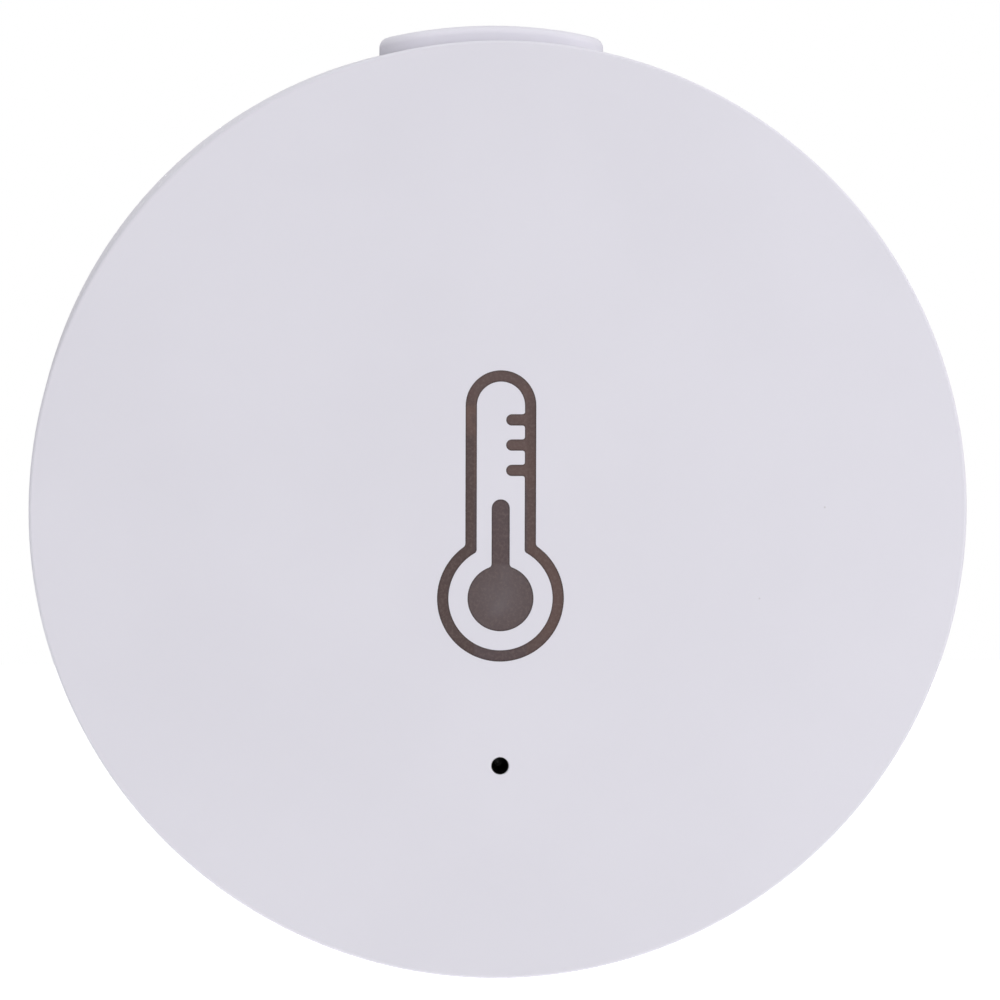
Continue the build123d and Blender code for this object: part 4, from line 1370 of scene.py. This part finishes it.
# %% Board, chips and switch
finish(copy_of("circuit_board", "sensor_board", 0.03), "green_board", "casing", "circuit_board")
for node, name, slot, edge in (
    ("radio_chip", "radio_package", "chip_black", 0.05),
    ("memory_chip", "memory_package", "chip_black", 0.05),
    ("humidity_sensor", "humidity_package", "sensor_black", 0.05),
    ("crystals", "crystal_cans", "crystal_can", 0.1),
    ("capacitors", "capacitor_bodies", "capacitor_tan", 0.04),
    ("resistors", "resistor_bodies", "chip_black", 0.03),
    ("switch_housing", "switch_box", "black_plastic", 0.05),
    ("switch_frame", "switch_cover_plate", "zinc_steel", 0.03),
    ("switch_terminals", "switch_feet", "tinned_metal", 0.03),
    ("negative_contact", "minus_contact", "spring_steel", 0.02),
    ("positive_contact", "plus_contact", "spring_steel", 0.02),
    ("antenna", "antenna_track", "gold_copper", 0.01),
    ("test_pads", "gold_test_pads", "gold_copper", 0.015),
):
    finish(copy_of(node, name, edge), slot, "casing", node)
finish(copy_of("switch_plunger", "plunger_key", 0.04), "black_plastic", "plunger", "switch_plunger")
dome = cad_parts["switch_dome"]
dome.data.materials.clear()
dome.data.materials.append(FINISHES["spring_steel"])


# %% Pins, end caps and vias
def block(name, size, edge):
    """A small box (across, height, up) that stands on the board, with broken edges."""
    across, tall, up = size
    return smooth(prism(name, oblong(across / 2, -up / 2, up / 2), 0, tall), round_edges=edge)


def middle(node):
    low, high = (Vector(corner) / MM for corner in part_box(node))
    return (low.x + high.x) / 2, (low.z + high.z) / 2, (high.x - low.x) / 2, (high.z - low.z) / 2


def tinned(name, size, edge, places):
    """Small tinned boxes of one size at places on the board."""
    boxes = placed(name, block("tinned_template", size, edge), "tinned_metal", places)
    finish(boxes, "tinned_metal", "casing")


PIN_PITCH, PIN_OUT = 0.65, 0.09
CAPACITOR_COLUMNS, CAPACITOR_PITCH, CAPACITOR_IN = 4, 1.7, 0.275
RESISTOR_COLUMNS, RESISTOR_PITCH = 5, 1.3
END = 0.5
pins = []
for node, count, all_round in (("radio_chip", 8, True), ("memory_chip", 4, False)):
    cx, cz, half_x, half_z = middle(node)
    out_x, out_z = half_x + PIN_OUT, half_z + PIN_OUT
    for step in range(count):
        shift = (step - (count - 1) / 2) * PIN_PITCH
        pins += [(cx + shift, board_front, cz + out_z, 0), (cx + shift, board_front, cz - out_z, 0)]
        if all_round:
            pins += [(cx + out_x, board_front, cz + shift, 90), (cx - out_x, board_front, cz + shift, 90)]
tinned("chip_pins", (0.3, 0.06, 0.2), 0.02, pins)

ends = []
cx, cz, half_x, half_z = middle("capacitors")
for column in range(CAPACITOR_COLUMNS):
    for row_z in (cz - half_z + CAPACITOR_IN, cz + half_z - CAPACITOR_IN):
        x = cx + (column - (CAPACITOR_COLUMNS - 1) / 2) * CAPACITOR_PITCH
        ends += [(x - END, board_front, row_z, 0), (x + END, board_front, row_z, 0)]
tinned("capacitor_ends", (0.34, 0.51, 0.57), 0.04, ends)
ends = []
cx, cz, half_x, half_z = middle("resistors")
for column in range(RESISTOR_COLUMNS):
    x = cx + (column - RESISTOR_COLUMNS // 2) * RESISTOR_PITCH
    ends += [(x, board_front, cz - END, 90), (x, board_front, cz + END, 90)]
tinned("resistor_ends", (0.3, 0.36, 0.57), 0.03, ends)

ON_BOARD = [
    "radio_chip", "memory_chip", "resistors", "status_led", "antenna", "test_pads", "humidity_sensor",
    "sensor_gasket",
]
VIAS, VIA_REACH, SCREW_ROOM, PART_ROOM, VIA_ROOM = 70, 14.6, 1.8, 0.7, 1.0
VIA_BORE, VIA_PAD, VIA_TALL = 0.1, 0.25, 0.03
chance = random.Random(11)
vias = []
while len(vias) < VIAS:
    x, z = chance.uniform(-14, 14), chance.uniform(-9.5, 13)
    clear = math.hypot(x, z) < VIA_REACH
    clear = clear and all(math.hypot(x - a, z - b) > SCREW_ROOM for a, b in SCREWS)
    for node in ON_BOARD:
        cx, cz, half_x, half_z = middle(node)
        if abs(x - cx) < half_x + PART_ROOM and abs(z - cz) < half_z + PART_ROOM:
            clear = False
    if clear and all(math.hypot(x - a, z - b) > VIA_ROOM for a, _, b, _ in vias):
        vias.append((x, board_front, z, 0))
via_line = rounded([
    (VIA_BORE, 0, 0), (VIA_PAD, 0, 0), (VIA_PAD, VIA_TALL, 0.012), (VIA_BORE, VIA_TALL, 0.012),
], closed=True)
via = turned("via_template", via_line, "gold_copper", steps=20)
finish(placed("board_vias", via, "gold_copper", vias), "gold_copper", "casing")

# %% [markdown]
# ## Close
# Both boxes, of the solids and of the visual model, are printed before the end. The visual model has
# to stay inside the solids' box.

# %% Close
visual_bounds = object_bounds()
sizes = {"cad": [list(corner) for corner in cad_bounds], "visual": [list(corner) for corner in visual_bounds]}
for title, (low, high) in sizes.items():
    print(title, [f"{(b - a) / MM:.3f}" for a, b in zip(low, high)])
